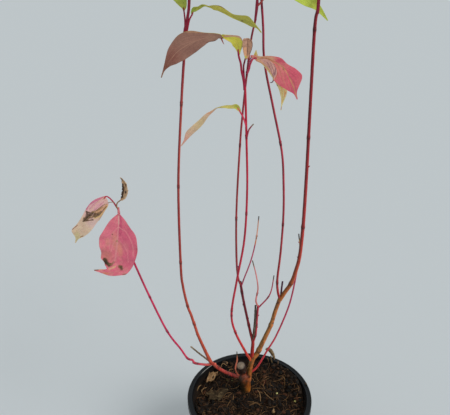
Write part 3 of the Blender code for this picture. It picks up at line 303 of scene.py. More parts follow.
# Stems' colours: share of the length, then the colours of the left and right sides. The darker left and
# brighter right are partly the bark's redder sunny side, and partly painted shade and painted light as from
# the lamp at the right
STEM_TINTS_AND_SIDE_SHADE = {
    "long_left_stem": [(0, (132, 48, 36), (190, 82, 56)), (.2, (132, 44, 36), (188, 76, 54)),
                       (.5, (112, 24, 34), (160, 56, 48)), (.8, (122, 24, 44), (188, 84, 66)),
                       (1, (104, 16, 36), (150, 34, 52))],
    "low_left_stem": [(0, (196, 78, 68), (218, 112, 80)), (.1, (180, 48, 74), (206, 72, 86)),
                      (.3, (166, 30, 70), (202, 46, 86)), (1, (160, 26, 64), (192, 42, 82))],
    "low_left_snag": [(0, (96, 80, 64), (190, 156, 112)), (.8, (82, 68, 60), (146, 124, 98)),
                      (1, (150, 128, 100), (190, 164, 128))],
    "left_stub": [(0, (150, 50, 44), (182, 80, 60)), (.3, (186, 92, 72), (216, 126, 96)),
                  (.8, (186, 102, 78), (204, 122, 92)), (.9, (72, 62, 42), (84, 72, 48)),
                  (1, (60, 52, 38), (72, 62, 42))],
    "right_stem": [(0, (112, 76, 26), (192, 106, 42)), (.1, (110, 56, 28), (192, 84, 46)),
                   (.18, (104, 40, 28), (190, 66, 48)), (.3, (96, 32, 30), (186, 54, 50)),
                   (.6, (94, 22, 30), (162, 42, 48)),
                   (1, (94, 12, 26), (152, 36, 46))],
    "inner_stem": [(0, (120, 26, 30), (178, 48, 50)), (.4, (106, 18, 32), (186, 60, 74)),
                   (1, (96, 15, 36), (172, 50, 70))],
    "right_snag": [(0, (66, 24, 44), (84, 32, 56)), (1, (60, 22, 48), (86, 36, 66))],
    "back_right_shoot": [(0, (168, 44, 44), (202, 72, 64)), (.15, (178, 44, 54), (198, 62, 70)),
                         (.5, (150, 34, 70), (182, 52, 86)), (.82, (164, 50, 80), (192, 72, 96)),
                         (.87, (178, 138, 74), (196, 156, 90)), (.95, (168, 130, 70), (190, 150, 86)),
                         (.97, (50, 40, 36), (56, 46, 40)), (1, (40, 32, 30), (46, 36, 32))],
    "back_centre_stem": [(0, (116, 26, 26), (192, 60, 50)), (.35, (104, 18, 26), (178, 46, 46)),
                         (.6, (80, 14, 28), (122, 26, 40)), (.95, (76, 14, 28), (116, 26, 40)),
                         (1, (44, 15, 30), (60, 24, 40))],
    "centre_stem": [(0, (190, 80, 40), (226, 122, 60)), (.05, (190, 46, 46), (222, 72, 60)),
                    (.2, (158, 24, 46), (202, 46, 60)), (.5, (148, 18, 46), (192, 36, 60)),
                    (1, (152, 18, 46), (192, 30, 56))],
    "mid_stem": [(0, (120, 26, 36), (188, 60, 60)), (1, (130, 28, 46), (188, 60, 76))],
    "mid_snag": [(0, (70, 62, 48), (112, 100, 76)), (1, (46, 40, 34), (72, 62, 52))],
    "pink_twig": [(0, (190, 90, 86), (216, 116, 110)), (.2, (204, 110, 110), (226, 136, 130)),
                  (.85, (196, 110, 110), (216, 130, 126)), (.92, (90, 80, 60), (110, 96, 76)),
                  (1, (70, 62, 50), (82, 70, 60))],
    "magenta_twig": [(0, (150, 46, 66), (186, 70, 90)), (.85, (166, 60, 80), (188, 76, 96)),
                     (.93, (70, 60, 40), (82, 68, 48)), (1, (60, 50, 36), (70, 58, 42))],
    "back_centre_leader": [(0, (108, 28, 40), (156, 54, 54)), (.5, (126, 32, 42), (168, 56, 56)),
                           (1, (110, 22, 46), (148, 36, 56))],
    "thin_back_twig": [(0, (130, 40, 70), (172, 66, 92)), (.6, (154, 50, 80), (182, 70, 100)),
                       (.66, (204, 110, 60), (216, 126, 76)), (.7, (196, 136, 116), (216, 156, 130)),
                       (.93, (196, 140, 116), (212, 156, 130)), (.97, (70, 62, 60), (82, 70, 66)),
                       (1, (60, 54, 52), (70, 62, 60))],
    "hook_twig": [(0, (130, 30, 50), (162, 46, 66)), (.8, (140, 40, 58), (162, 50, 68)),
                  (.9, (140, 120, 96), (162, 136, 110)), (1, (120, 106, 86), (140, 120, 96))],
}

# The old wood's colours in the same form. Their dark left sides are mostly painted shade, the trunk's
# near-black one most of all, and the pruned stump's nearly black side is partly its dark old bark and partly
# painted shade
OLD_TINTS_AND_SIDE_SHADE = {
    "trunk": [(0, (20, 17, 7), (136, 78, 22)), (.3, (22, 19, 8), (176, 100, 28)),
              (.7, (25, 19, 9), (150, 74, 26)), (1, (36, 21, 11), (140, 58, 28))],
    "right_lower_stem": [(0, (170, 90, 50), (216, 128, 76)), (.15, (112, 76, 30), (196, 108, 50)),
                         (.6, (110, 78, 22), (192, 112, 58)), (1, (104, 70, 26), (186, 100, 44))],
    "pruned_stump": [(0, (40, 26, 20), (70, 44, 30)), (1, (22, 15, 12), (48, 32, 24))],
    "left_arm": [(0, (40, 22, 10), (84, 40, 20)), (.16, (60, 26, 16), (110, 40, 26)),
                 (.36, (124, 38, 32), (150, 46, 40)), (.6, (152, 50, 40), (172, 58, 48)),
                 (1, (166, 66, 42), (172, 62, 46))],
}

# Marks on the old wood: x, y, z, radius and colour. The near-black ones at x -12 to -6.6, from 119 to 143 mm
# up on the trunk's front left, are painted shade of its shaded side
OLD_MARKS_AND_SHADE = [
    (-27.5, 16.5, 150, 2.2, (60, 22, 20)), (-47.4, 10.4, 172, 2.0, (118, 100, 84)),
    (0, 18, 146, 2.2, (64, 30, 20)), (-4, 15, 140, 3.2, (52, 34, 18)),
    (12.5, 17.5, 189, 1.8, (60, 34, 24)), (31, 26, 232, 1.6, (70, 40, 24)),
    (36, 31, 262, 2.0, (70, 34, 20)), (-10, 17, 137, 4.6, (36, 28, 13)), (-12, 16, 143, 3.8, (46, 28, 16)),
    (-11, 17, 129, 5.0, (26, 22, 10)), (-9, 16, 121, 5.0, (28, 23, 10)), (-2, 14, 122, 2.4, (120, 84, 34)),
    (-7.4, 14.6, 134, 3.6, (54, 39, 18)), (-7, 14.8, 126, 3.8, (48, 38, 17)),
    (-6.6, 15, 119, 3.6, (42, 33, 15)),
]

# Buds besides those of the nodes: limb, height, bearing in degrees, length and colour
SINGLE_BUDS = [
    ("right_stem", 452, -20, 3.4, (130, 40, 44)), ("right_stem", 329, 200, 3.2, (74, 24, 26)),
    ("back_right_shoot", 335, -160, 3.0, (150, 46, 74)), ("centre_stem", 340, 180, 3.6, (110, 36, 80)),
    ("back_centre_stem", 262, 150, 3.6, (92, 24, 40)), ("back_centre_stem", 244, -30, 2.6, (96, 90, 60)),
    ("mid_stem", 252, 10, 3.0, (96, 60, 60)), ("mid_stem", 232, 0, 2.6, (140, 60, 60)),
    ("long_left_stem", 226, 170, 3.0, (96, 34, 36)),
]

# The colours of the twigs that carry leaves, and each mass's choice for its twigs in turn
TWIG_PALETTE = [(176, 30, 66), (112, 18, 40), (146, 112, 78), (150, 26, 56), (178, 52, 80), (176, 126, 148),
                (218, 62, 90), (130, 26, 50), (160, 66, 60), (74, 26, 36), (216, 122, 126),
                (120, 88, 96)]
TWIG_LOOKS = {
    "low_left_leaves": [0, 2, 10], "centre_leaves": [3, 1], "middle_right_leaves": [4, 5],
    "hanging_leaf": [6], "left_crown": [7, 7, 3], "right_crown": [7], "inner_crown": [1, 8],
    "middle_crown": [7, 8],
}
PETIOLE_LOOK = 8
BUD_LOOK = 9

# Rolled bits of leaf margin: mass, points with thickness, and colour among the twigs'
CURLS = [
    ("centre_leaves", [(-37, -22.6, 610.6, 1.5), (-36.2, -23, 608.8, 1.3), (-35.4, -23, 607, .9),
                       (-34.4, -23, 605.4, .5)], 8),
    ("middle_right_leaves", [(16, -6, 569, 1.3), (15.6, -6.5, 566.4, 1.2), (14.4, -7, 564.6, 1.1),
                             (12.3, -7, 564.3, .7)], 11),
    ("low_left_leaves", [(-149.8, -43.4, 446, .7), (-152.6, -43.6, 446.6, .7), (-156.8, -44, 446.2, .7)], 2),
]

# The leaves' colours: the depth y at which their marks are placed; upper side and its mottling, underside and
# veins; how strongly the veins show; and the marks of the upper side and of the underside. A mark is a spot
# (x, z, half width, half height, colour) or a stroke (points x, z, half width, colour).
LEAF_LOOKS = {
    "pink": (-50, (208, 98, 116), (220, 136, 134), (206, 140, 146), (224, 150, 150), .3, [
        (-158, 413, 9, 14, (216, 112, 128)), (-138, 406, 10, 20, (192, 82, 108)),
        (-138, 384, 8, 14, (196, 88, 110)), (-152, 402, 3.4, 11, (200, 120, 112)),
        (-163, 384, 5.6, 8, (190, 110, 104)), (-148, 392, 3, 9, (206, 122, 112)),
        (-160, 402, 3, 5, (208, 124, 120)), (-141, 396, 3, 6, (200, 104, 116)),
        ([(-144.2, 433), (-144.6, 420), (-146.6, 410)], 1.7, (186, 78, 104)),
        ([(-145.3, 440), (-146.4, 424)], .8, (232, 170, 160)),
        ([(-146.6, 424), (-148.8, 408), (-150.2, 398), (-153.4, 381)], .5, (216, 136, 136)),
        ([(-146.4, 420), (-139.7, 415), (-135.2, 405), (-133.2, 396), (-134, 384)], .45, (220, 130, 136)),
        ([(-149.4, 406), (-143, 398), (-139.6, 388), (-140, 376)], .4, (212, 122, 130)),
        ([(-146.8, 421), (-153, 414), (-158, 404), (-159, 392)], .4, (226, 138, 140)),
        ([(-149, 408), (-154.4, 400), (-157.6, 390)], .4, (220, 138, 136)),
        ([(-138.7, 428), (-134.9, 420)], .4, (130, 84, 60)),
        ([(-129.6, 394), (-131.2, 380), (-136, 370)], .5, (178, 66, 84)),
        ([(-165.4, 379.6), (-163.6, 376), (-161.6, 372.4)], 2.3, (70, 54, 28)),
        (-164.6, 376, 1.6, 2.4, (44, 34, 18)), (-160, 374, 1.6, 1.4, (104, 76, 44)),
        ([(-158.8, 372.2), (-155.7, 376.5)], 1.1, (140, 92, 74)),
        ([(-161.5, 367.4), (-158.2, 368.8), (-154.6, 371)], .9, (232, 180, 138)),
        (-149.4, 370.6, 2.6, 2, (104, 80, 50)), (-148, 368.4, 1.7, 2.8, (84, 66, 40)),
        (-154.1, 411.4, .8, .7, (116, 72, 52)), (-149.9, 403, 1.2, 1.4, (162, 122, 84)),
        ([(-179, 366), (-174, 366.4)], .8, (126, 84, 60)),
        ([(-173, 366.4), (-167, 367)], .5, (222, 158, 122)),
        (-166, 361.6, 4, 1.6, (222, 130, 110)), (-145, 360.6, 3, .7, (126, 84, 70)),
    ], []),
    "cream": (-45, (230, 194, 164), (234, 208, 176), (192, 164, 134), (206, 160, 150), .5, [
        (-168, 443, 11, 9, (212, 150, 160)), (-178, 433, 5, 9, (216, 166, 164)),
        (-174, 421, 6, 5, (224, 188, 178)), (-194, 405, 3.6, 7, (200, 182, 134)),
        ([(-161.2, 453.1), (-169, 449.7), (-177, 444.7), (-179.9, 439.7)], 1.1, (190, 104, 128)),
        ([(-159.6, 453.5), (-166.2, 448.1), (-172.9, 441.3), (-177.2, 436.3)], .4, (206, 164, 138)),
        ([(-161, 448), (-166, 443), (-171.6, 438)], .35, (186, 112, 134)),
        ([(-164, 451), (-171, 445.4), (-177, 439)], .35, (190, 116, 138)),
        # the dark ragged patch stands for a margin folded over: partly the leaf's own brown, partly painted
        # shade under the fold; the pale strokes along its lower edge are a painted highlight on the fold's
        # edge
        ([(-182.6, 427.4), (-178, 430.3), (-172.4, 431.6), (-167, 434.4)], 2.4, (120, 92, 58)),
        ([(-174, 435.4), (-168.4, 436.6), (-163, 440.6)], 1.5, (140, 106, 68)),
        (-178, 431.4, 3.6, 2.6, (84, 62, 37)), (-172.4, 433.2, 3.4, 2.2, (96, 70, 42)),
        (-166.6, 436.6, 2.6, 1.4, (112, 82, 50)), (-182.6, 427.4, 2.4, 1.6, (96, 72, 42)),
        ([(-172.6, 428.4), (-166.4, 431), (-162.6, 435), (-159.4, 439.7), (-157.8, 443)], 1, (206, 168, 112)),
        ([(-170, 435.4), (-165.8, 437.5), (-161.6, 440.9), (-158.4, 444.7)], .9, (190, 142, 104)),
        ([(-185, 424.8), (-182.4, 427.2), (-180.1, 430.6), (-180, 434), (-180.4, 436.2)], .9, (66, 50, 31)),
        ([(-184.6, 424.9), (-179.9, 425.6), (-174.6, 426.4)], .8, (88, 66, 38)),
        ([(-180.2, 436), (-177.3, 434.8), (-173.6, 434.4)], .8, (74, 56, 36)),
        (-177.4, 432.2, 1.6, .9, (52, 34, 21)), (-173.4, 433.2, 1.4, .8, (56, 38, 24)),
        (-180.6, 429.6, 1.2, 1, (56, 42, 26)), (-168.6, 432.6, 1.4, .8, (74, 54, 34)),
        ([(-171.9, 429.6), (-167.6, 431.6), (-164.8, 434.9), (-162, 438.4), (-158.5, 442.4)],
         .5, (108, 82, 54)),
        ([(-171.1, 436.5), (-167.8, 439.2), (-163.7, 442.4), (-160, 445)], .45, (126, 92, 64)),
        (-171.9, 429.6, 1.1, .9, (78, 62, 40)), (-175.8, 430.2, 1.1, .8, (156, 122, 78)),
        ([(-197.9, 414.8), (-194.6, 417.5), (-192, 419.9)], .4, (124, 76, 62)),
        ([(-190.3, 405.2), (-187.4, 406.6)], .4, (128, 92, 56)),
    ], []),
    "dry_curl": (-45, (226, 188, 148), (130, 98, 70), (76, 56, 40), (150, 116, 84), .3, [
        ([(-141.4, 453), (-140.4, 458), (-139.4, 464), (-139.8, 468)], 1.2, (46, 34, 27)),
        (-140.6, 472, 1.6, 2.4, (84, 62, 46)), (-137, 459, 1, 1.6, (90, 66, 48)),
        (-136, 467, .8, 1.8, (110, 80, 58)),
    ], []),
    "long": (-22, (192, 180, 62), (178, 178, 62), (138, 98, 84), (172, 128, 106), .5, [
        ([(-34, 612.6), (-30, 612.9), (-23.7, 613.1), (-19.4, 612), (-16.9, 609.5)], .9, (172, 132, 108)),
        ([(-16.4, 607.6), (-17.8, 600.5)], .5, (150, 134, 70)),
        ([(-35.3, 610.6), (-30, 607.7), (-24.7, 601.5), (-20.9, 596.2)], .45, (206, 158, 112)),
    ], [(-86, 592, 8, 8, (120, 70, 60)), (-43, 611, 7.7, 3.7, (152, 114, 96)),
        (-58, 617, 16, 1.4, (158, 116, 90)), (-66, 600, 10, 4, (130, 90, 78)),
        (-92, 583, 4, 4, (110, 62, 50)),
        ([(-51, 607), (-44.9, 608), (-38.5, 610)], .4, (96, 62, 54))]),
    "short": (-12, (178, 136, 112), (154, 114, 96), (150, 104, 96), (206, 156, 122), .3, [
        ([(-14, 599), (-13.2, 592.5), (-11, 591.5)], 1.6, (224, 166, 126)),
        ([(-8.5, 607), (-6.4, 603.6), (-6.6, 599.5), (-8.8, 594.6)], .5, (120, 84, 74)),
        ([(-11.5, 606.5), (-11, 600), (-11.8, 593)], .35, (120, 86, 76)),
        ([(-15.5, 606.7), (-13, 607.4), (-10.4, 607.7)], .45, (142, 102, 84)),
        (-13, 591.2, 1.2, 1, (188, 180, 76)),
    ], []),
    "red": (-5, (208, 92, 106), (206, 108, 112), (202, 150, 138), (196, 142, 104), .3, [
        (2, 588, 9, 3.4, (244, 194, 148)), (11, 587, 6, 4, (238, 178, 140)), (18, 578, 8, 6, (226, 132, 124)),
        (36, 553, 5, 9, (190, 74, 98)), (36, 572, 6, 7, (204, 84, 104)), (24, 586, 6, 2, (198, 80, 100)),
        ([(2, 589.6), (10, 587.9), (19.5, 583.3), (26.2, 578.7), (31.7, 570), (36.6, 559.8), (40.6, 549)],
         .45, (196, 136, 100)),
        ([(19.5, 583), (23, 573), (28, 562)], .35, (194, 112, 100)),
        ([(25, 579), (29, 568), (34, 556)], .35, (190, 104, 100)),
        ([(31, 571), (36, 566), (40, 556)], .35, (184, 96, 100)),
        ([(14, 586), (17, 578), (19, 567)], .35, (196, 128, 106)),
        (25.4, 577.6, .9, .7, (130, 84, 56)), (9, 585, 1.8, 1, (196, 170, 92)),
    ], [([(-3.6, 587), (1.5, 585), (6.6, 580.8), (10.4, 576.5), (13.5, 570.7), (15.4, 567.8)],
         1.5, (228, 168, 130)),
        ([(16, 583), (18, 579), (17, 572)], .8, (150, 104, 108)),
        ([(9, 584.6), (13, 577), (15.4, 570)], .35, (146, 100, 106)),
        ([(12, 584), (15.4, 577), (16, 571)], .35, (146, 100, 106))]),
    "yellow": (0, (255, 240, 176), (255, 232, 160), (244, 218, 146), (214, 188, 128), .2, [
        ([(24.5, 561), (26, 550), (25.8, 541)], .4, (206, 168, 92)),
        ([(28.5, 556), (28, 548), (26.2, 541)], .35, (210, 172, 98)),
        ([(29.5, 553), (28.4, 548.4)], .6, (220, 156, 116)),
        (19.9, 559.6, 1, .9, (96, 70, 52)), (25.4, 535.6, 1, 1.6, (178, 140, 120)),
    ], []),
    "yellow_bit": (3, (246, 226, 130), (246, 226, 150), (246, 226, 150), (220, 190, 120), .2, [
        (-4, 590.6, 1.4, 2, (206, 196, 84)),
    ], []),
    "hanging": (-16, (192, 182, 100), (186, 170, 92), (206, 172, 144), (178, 142, 112), .4, [
        (-22, 541, 3, 3.4, (178, 178, 74)),
    ], [(-77, 506, 6, 7, (204, 148, 132)), (-50, 536, 8, 2, (210, 156, 124)),
        (-32, 541, 9, 3, (190, 178, 104)), (-60, 524, 7, 7, (198, 174, 130))]),
    "green": (-10, (154, 154, 62), (164, 166, 74), (158, 150, 62), (180, 174, 98), .35, [
        (-66, 634, 4.5, 4, (134, 152, 52)), (-17, 625, 1, 1, (96, 80, 44)),
    ], [(-12, 625, 13, 7, (138, 136, 58)), (-17, 625, .8, .8, (96, 80, 44)),
        ([(-50, 640.6), (-40, 639.2), (-30, 635)], .5, (126, 96, 66)),
        ([(-34, 631), (-22, 625), (-12, 621)], .9, (178, 172, 72))]),
    "top_left": (-10, (154, 158, 60), (170, 172, 72), (150, 152, 72), (182, 184, 100), .4, [
        (-66, 655, 9, 18, (126, 142, 54)),
    ], []),
    "far_green": (20, (184, 196, 76), (172, 184, 64), (166, 178, 74), (200, 208, 112), .4, [], []),
}

# Blades folded over at a margin: the side, where along the blade it begins and ends, and its width
FLAPS = {"red": (-1, .09, .6, 9.6), "cream": (1, .06, .4, 1.8)}

# How each blade is bent: the fold of its halves in degrees, how much its margins rise or fall, the height
# of the waves along its margins and how many there are; how strongly its veins curve and how many there are
# to a length; and where it is gathered to a trough and by how many more degrees
BENDS = {
    "pink": (6, -.06, .9, 5, 3.4, 8), "cream": (8, .06, .7, 3, 2.2, 6), "dry_curl": (22, .4, 1.3, 4, 3.4, 8),
    "long": (10, -.08, .7, 4, 1.7, 4, .265, 42), "short": (20, .05, .4, 2, 3.4, 8),
    "red": (8, -.06, .8, 4, 2.4, 6), "yellow": (10, .04, .5, 4, 2, 5), "yellow_bit": (10, 0, .2, 1, 2, 4),
    "hanging": (22, .1, .5, 3, 1.6, 4), "green": (18, .1, .6, 4, 1.8, 4), "top_left": (10, 0, 1, 3, 2.4, 6),
    "far_green": (12, 0, .9, 3, 2.4, 6),
}

# Crown leaves' colours: three for the upper side, then the margin and the veins, then the underside
CROWN_COLOURS = [(132, 146, 60), (158, 164, 66), (176, 142, 84), (176, 96, 78), (188, 190, 112),
                 (154, 162, 98)]

# The compost's colours and how often each is dealt out
CRUMB_COLOURS = [((13, 9, 6), 30), ((24, 17, 11), 30), ((40, 28, 18), 20), ((64, 44, 28), 10),
                 ((104, 80, 54), 3), ((70, 40, 21), 7)]
FIBRE_COLOURS = [(46, 31, 19), (84, 58, 35), (132, 98, 62), (22, 15, 9)]

# Slow-release fertiliser grains: x, y, diameter and colour
GRAINS = [(40, 17, 3.2, (206, 200, 130)), (64, 2, 3.6, (196, 190, 110)), (0, 21.5, 2.4, (210, 206, 176)),
          (38, 25, 2.2, (206, 160, 116)), (49, 47, 2.6, (206, 190, 150)), (-12, -30, 3.2, (190, 184, 116)),
          (22, -52, 3.4, (200, 180, 120)), (-48, -30, 3.0, (196, 170, 110))]

# Roots and threads that stand out on the compost: points x, y, z, thickness and colour
ROOTS = [
    ([(30, 73, 131), (31, 71.5, 128), (32, 70, 123)], .9, (120, 92, 62)),
    ([(35, 76.5, 131.5), (35.6, 70, 129), (38.4, 61, 124)], 1.9, (92, 74, 46)),
    ([(45, 66, 131.5), (44.8, 62, 130), (44.4, 56, 124)], 1.0, (110, 84, 56)),
    ([(-31, 62, 126), (-37, 63, 129), (-41, 57, 123)], .9, (150, 118, 82)),
    ([(-22, 60, 121), (-27, 55, 124), (-29, 49, 118)], .9, (132, 96, 62)),
    ([(20, 40, 118), (28, 44, 121.5), (38, 41, 119)], .8, (128, 94, 60)),
    ([(0, -6, 116), (10, -2, 118), (17, -9, 115)], .8, (120, 88, 56)),
    ([(31, 54, 119), (25, 38, 118.5), (18, 22, 116)], .9, (92, 34, 26)),
    ([(12.7, 22.2, 117), (15.5, 12.7, 119), (16, 2, 116)], 1.0, (150, 116, 78)),
    ([(22, 20, 116), (26, 10, 118.5), (36, 2, 116)], .8, (140, 108, 72)),
    ([(-68, 32, 117), (-71, 25, 120), (-73, 21, 117)], 1.2, (150, 118, 80)),
    ([(-60, 28, 116), (-64, 23, 119), (-67, 19, 117)], 1.1, (140, 108, 72)),
    ([(-25, 70, 118), (-27, 65, 119.5), (-27, 60, 117)], .9, (170, 104, 60)),
    ([(-33, 76, 122), (-34, 69, 120), (-32, 64, 117)], 1.0, (170, 140, 100)),
    ([(-40, -20, 115), (-30, -30, 118), (-22, -44, 115)], .8, (120, 88, 56)),
    ([(8, -20, 115), (20, -26, 118), (34, -24, 115)], .8, (128, 92, 60)),
    ([(50, -30, 116), (56, -18, 118), (66, -12, 116)], .9, (110, 76, 46)),
]

# Clods and chunks: x, y, height above the compost, half sizes, colour
CHUNKS = [
    (-45.5, 60, 2.6, 6, 4, 3.6, (66, 48, 31)), (-34, 68, 3.6, 4.2, 3.6, 4.6, (58, 42, 28)),
    # the small pale lump at (-31, 67), set into the upper right of the dark clod before it, is a painted
    # highlight on that clod
    (-31, 67, 5, 2.0, 2, 2.6, (140, 108, 76)), (-54, 52, 2, 4, 3, 3, (50, 36, 24)),
    (-24, 70, 2.4, 4, 3, 3.4, (54, 38, 25)), (-45, 50, 1.6, 3, 2.4, 2.2, (90, 64, 40)),
    (28, 66, 1.2, 3.4, 2.6, 2.4, (52, 36, 22)), (38, 60, 1, 3.6, 2.8, 2.2, (60, 41, 25)),
    (32, -15, 1, 3, 5, 2.4, (150, 120, 82)), (62, 26, 1, 3, 3.4, 2.2, (66, 45, 28)),
    (-30, 44, .8, 2, 1.6, 1.2, (104, 96, 60)), (-23, 44, .8, 1.8, 1.4, 1.2, (104, 96, 60)),
    (51, 48, 1, 3.2, 2.4, 2, (68, 45, 27)), (58, 38, 1, 2.6, 3, 1.8, (60, 40, 24)),
    (45, 55, 1, 2.8, 2.4, 1.8, (70, 46, 28)), (50, 40, .8, 3.2, 2.2, 1.8, (74, 50, 31)),
    (-55, -20, 1, 4, 3, 2, (70, 48, 30)), (10, -60, 1, 4, 3, 2.2, (96, 68, 42)),
    (80.6, 20.5, 16.4, 1.7, 3.0, 1.0, (70, 54, 38)), (-14, 60, 1, 3.2, 2.4, 2, (62, 44, 28)),
]

# Dry leaves lying on the compost: outline x, y, the middle, the fold's line and height, and colours: the
# middle one, a painted highlight for the ridges and painted shade for the hollows, which also colours the
# rotten spots
DRY_LEAVES = {
    "tan_dry_leaf": ([(-55.6, 53), (-55, 50.6), (-49.8, 51.6), (-43.5, 52.8), (-47, 46.1), (-49.2, 40.9),
                      (-55.7, 34.6), (-60.2, 33.2), (-59.2, 41), (-57.4, 47.4), (-56.4, 53)], (-53.5, 43.5),
                     (70, 4.5), ((148, 115, 80), (174, 138, 100), (96, 70, 48))),
    "brown_dry_leaf": ([(-62, 20), (-56, 22), (-50, 20.5), (-44, 22), (-39, 25), (-33, 24), (-28, 21),
                        (-30, 17), (-32, 15), (-37, 9), (-42, 2), (-45, 5), (-49, 4), (-53, 7), (-58, 6),
                        (-55, 11), (-57, 14)], (-45, 14), (12, 3.2),
                       ((58, 46, 31), (96, 80, 56), (32, 24, 16))),
}
RIM_LEAF = [(27.6, 84, 136.6, 1, 1, 0), (28.8, 83.6, 138.6, 2.2, 2.2, 0), (31, 82, 140.6, 3, 2.8, 0),
            (34, 79.6, 140.4, 3.3, 3, 0), (36.8, 77, 137.6, 3.2, 3, 0), (38.8, 75, 134, 2.6, 2.4, 0),
            (40, 73, 131, 1.5, 1.5, 0), (40.4, 71.4, 129, .7, .7, 0)]


def seen(red, green, blue):
    """The base colour that shows in the studio as a colour given from 0 to 255."""
    linear = [((value / 255 + 0.055) / 1.055) ** 2.4 if value > 10 else value / 255 / 12.92
              for value in (red, green, blue)]
    scale = min(1 / LIGHT, 0.95 / max(0.01, *linear))
    return tuple(value * scale for value in linear)


class Value:
    """A socket in a material's nodes. Arithmetic on it adds Math nodes."""

    def __init__(self, paint, socket):
        self.paint, self.socket = paint, socket

    def maths(self, operation, *others):
        return self.paint.node("ShaderNodeMath", {"operation": operation}, dict(enumerate((self, *others))))

    def __add__(self, other):
        return self.maths("ADD", other)

    __radd__ = __add__

    def __mul__(self, other):
        return self.maths("MULTIPLY", other)

    __rmul__ = __mul__

    def __sub__(self, other):
        return self.maths("SUBTRACT", other)

    def __rsub__(self, other):
        return self * -1 + other

    def __truediv__(self, other):
        return self.maths("DIVIDE", other)

    def __abs__(self):
        return self.maths("ABSOLUTE")

    def between(self, low, high):
        """0 below low, 1 above high and even between."""
        settings = {"clamp": True, "interpolation_type": "SMOOTHSTEP"}
        return self.paint.node("ShaderNodeMapRange", settings,
                               {"Value": self, "From Min": low, "From Max": high})


class Paint:
    """One material and its nodes."""

    def __init__(self, name):
        self.made = bpy.data.materials.new(name)
        self.made.use_nodes = True
        self.tree = self.made.node_tree
        self.shader = self.tree.nodes["Principled BSDF"]

    def node(self, kind, settings=None, inputs=None, output=0):
        """A node with its settings and its sockets' values or links, as its output's Value."""
        node = self.tree.nodes.new(kind)
        for name, setting in (settings or {}).items():
            setattr(node, name, setting)
        for name, value in (inputs or {}).items():
            self.feed(node.inputs[name], value)
        return Value(self, node.outputs[output])

    def feed(self, socket, value):
        """Link or set one socket."""
        if isinstance(value, Value):
            self.tree.links.new(value.socket, socket)
        elif isinstance(value, tuple) and len(value) == 3 and socket.type == "RGBA":
            socket.default_value = (*value, 1.0)
        else:
            socket.default_value = value

    def place(self):
        """Object coordinates, in metres."""
        return self.node("ShaderNodeTexCoord", output="Object")

    def attribute(self, name):
        return self.node("ShaderNodeAttribute", {"attribute_name": name}, output="Color")

    def noise(self, at, scale, detail=3.0, rough=0.55, stretch=None):
        """Noise at a place, with scale in cells per metre, drawn out by stretch."""
        if stretch:
            at = self.node("ShaderNodeMapping", {}, {"Vector": at, "Scale": stretch})
        return self.node("ShaderNodeTexNoise", {}, {"Vector": at, "Scale": scale, "Detail": detail,
                                                    "Roughness": rough})

    def mix(self, factor, low, high):
        """A colour between two, by a factor."""
        return self.node("ShaderNodeMix", {"data_type": "RGBA"}, {0: factor, 6: low, 7: high}, output=2)

    def scaled(self, colour, factor):
        """A colour made lighter or darker."""
        return self.node("ShaderNodeVectorMath", {"operation": "SCALE"}, {0: colour, "Scale": factor})

    def split(self, vector):
        """The x, y and z of a vector."""
        node = self.tree.nodes.new("ShaderNodeSeparateXYZ")
        self.feed(node.inputs[0], vector)
        return [Value(self, output) for output in node.outputs]

    def finish(self, colour, roughness, height=None, depth=0.001, **settings):
        """Feed the shader; height is a bump of a depth in metres; settings are plain sockets."""
        self.feed(self.shader.inputs["Base Color"], colour)
        self.feed(self.shader.inputs["Roughness"], roughness)
        for name, value in settings.items():
            self.feed(self.shader.inputs[name.replace("_", " ")], value)
        if height is not None:
            bump = self.node("ShaderNodeBump", {}, {"Height": height, "Distance": depth})
            self.feed(self.shader.inputs["Normal"], bump)
        return self.made


def plastic_material():
    """Black moulded pot plastic, half matt, dusty, with scuffs and soil dried on inside the wall, and a
    painted highlight along the inner bead at the back left.
    """
    paint = Paint("black_pot_plastic")
    at = paint.place()
    x, y, z = paint.split(at)
    cloud = paint.noise(at, 14.0, 4.0).between(0.42, 0.75)
    dust = paint.noise(at, 420.0, 2.0).between(0.58, 0.72)
    scuffs = paint.noise(at, 60.0, 3.0, 0.6, (1.0, 1.0, 9.0)).between(0.6, 0.72)
    colour = paint.mix(cloud * 0.25 + dust * 0.2 + scuffs * 0.2, (0.0045, 0.006, 0.0075),
                       (0.036, 0.042, 0.047))
    from_axis = (x * x + y * y).maths("SQRT")
    inside = (from_axis - z * 0.15).between(0.0612, 0.0588)
    soiled = inside * paint.noise(at, 120.0, 4.0).between(0.3, 0.62) * z.between(0.1292, 0.119)
    colour = paint.mix(soiled * 0.8, colour, seen(46, 34, 24))
    # painted highlight: a thin pale line along the inner bead of the rim at the back left, standing for light
    # caught by the bead
    painted_bead_highlight = (from_axis.between(0.0784, 0.0786) * from_axis.between(0.0791, 0.0789) * z.between(0.1289, 0.1293)
            * x.between(-0.07, -0.064) * x.between(-0.048, -0.056) * paint.noise(at, 90.0).between(0.3, 0.5))
    colour = paint.mix(painted_bead_highlight * y.between(0.0, 0.01), colour, seen(176, 170, 160))
    grain = paint.noise(at, 1400.0, 1.0)
    return paint.finish(colour, cloud * 0.16 + dust * 0.1 + soiled * 0.3 + 0.34, grain, 0.00004,
                        Specular_IOR_Level=0.25)


def ground_material():
    """Moist compost: its tint from the mesh, darkened in the low parts of its bump as painted shade, with
    pale specks.
    """
    paint = Paint("moist_compost")
    at = paint.place()
    lumps = paint.noise(at, 260.0, 5.0, 0.7)
    specks = paint.noise(at, 700.0, 2.0, 0.6).between(0.62, 0.76)
    tint = paint.attribute("tint")
    # painted shade: the tint darkens to a third where the bump is low
    colour = paint.mix(lumps.between(0.32, 0.66), paint.scaled(tint, 0.35), tint)
    colour = paint.mix(specks * 0.35, colour, seen(90, 64, 42))
    return paint.finish(colour, 0.92, lumps + specks * 0.3, 0.002, Specular_IOR_Level=0.2)


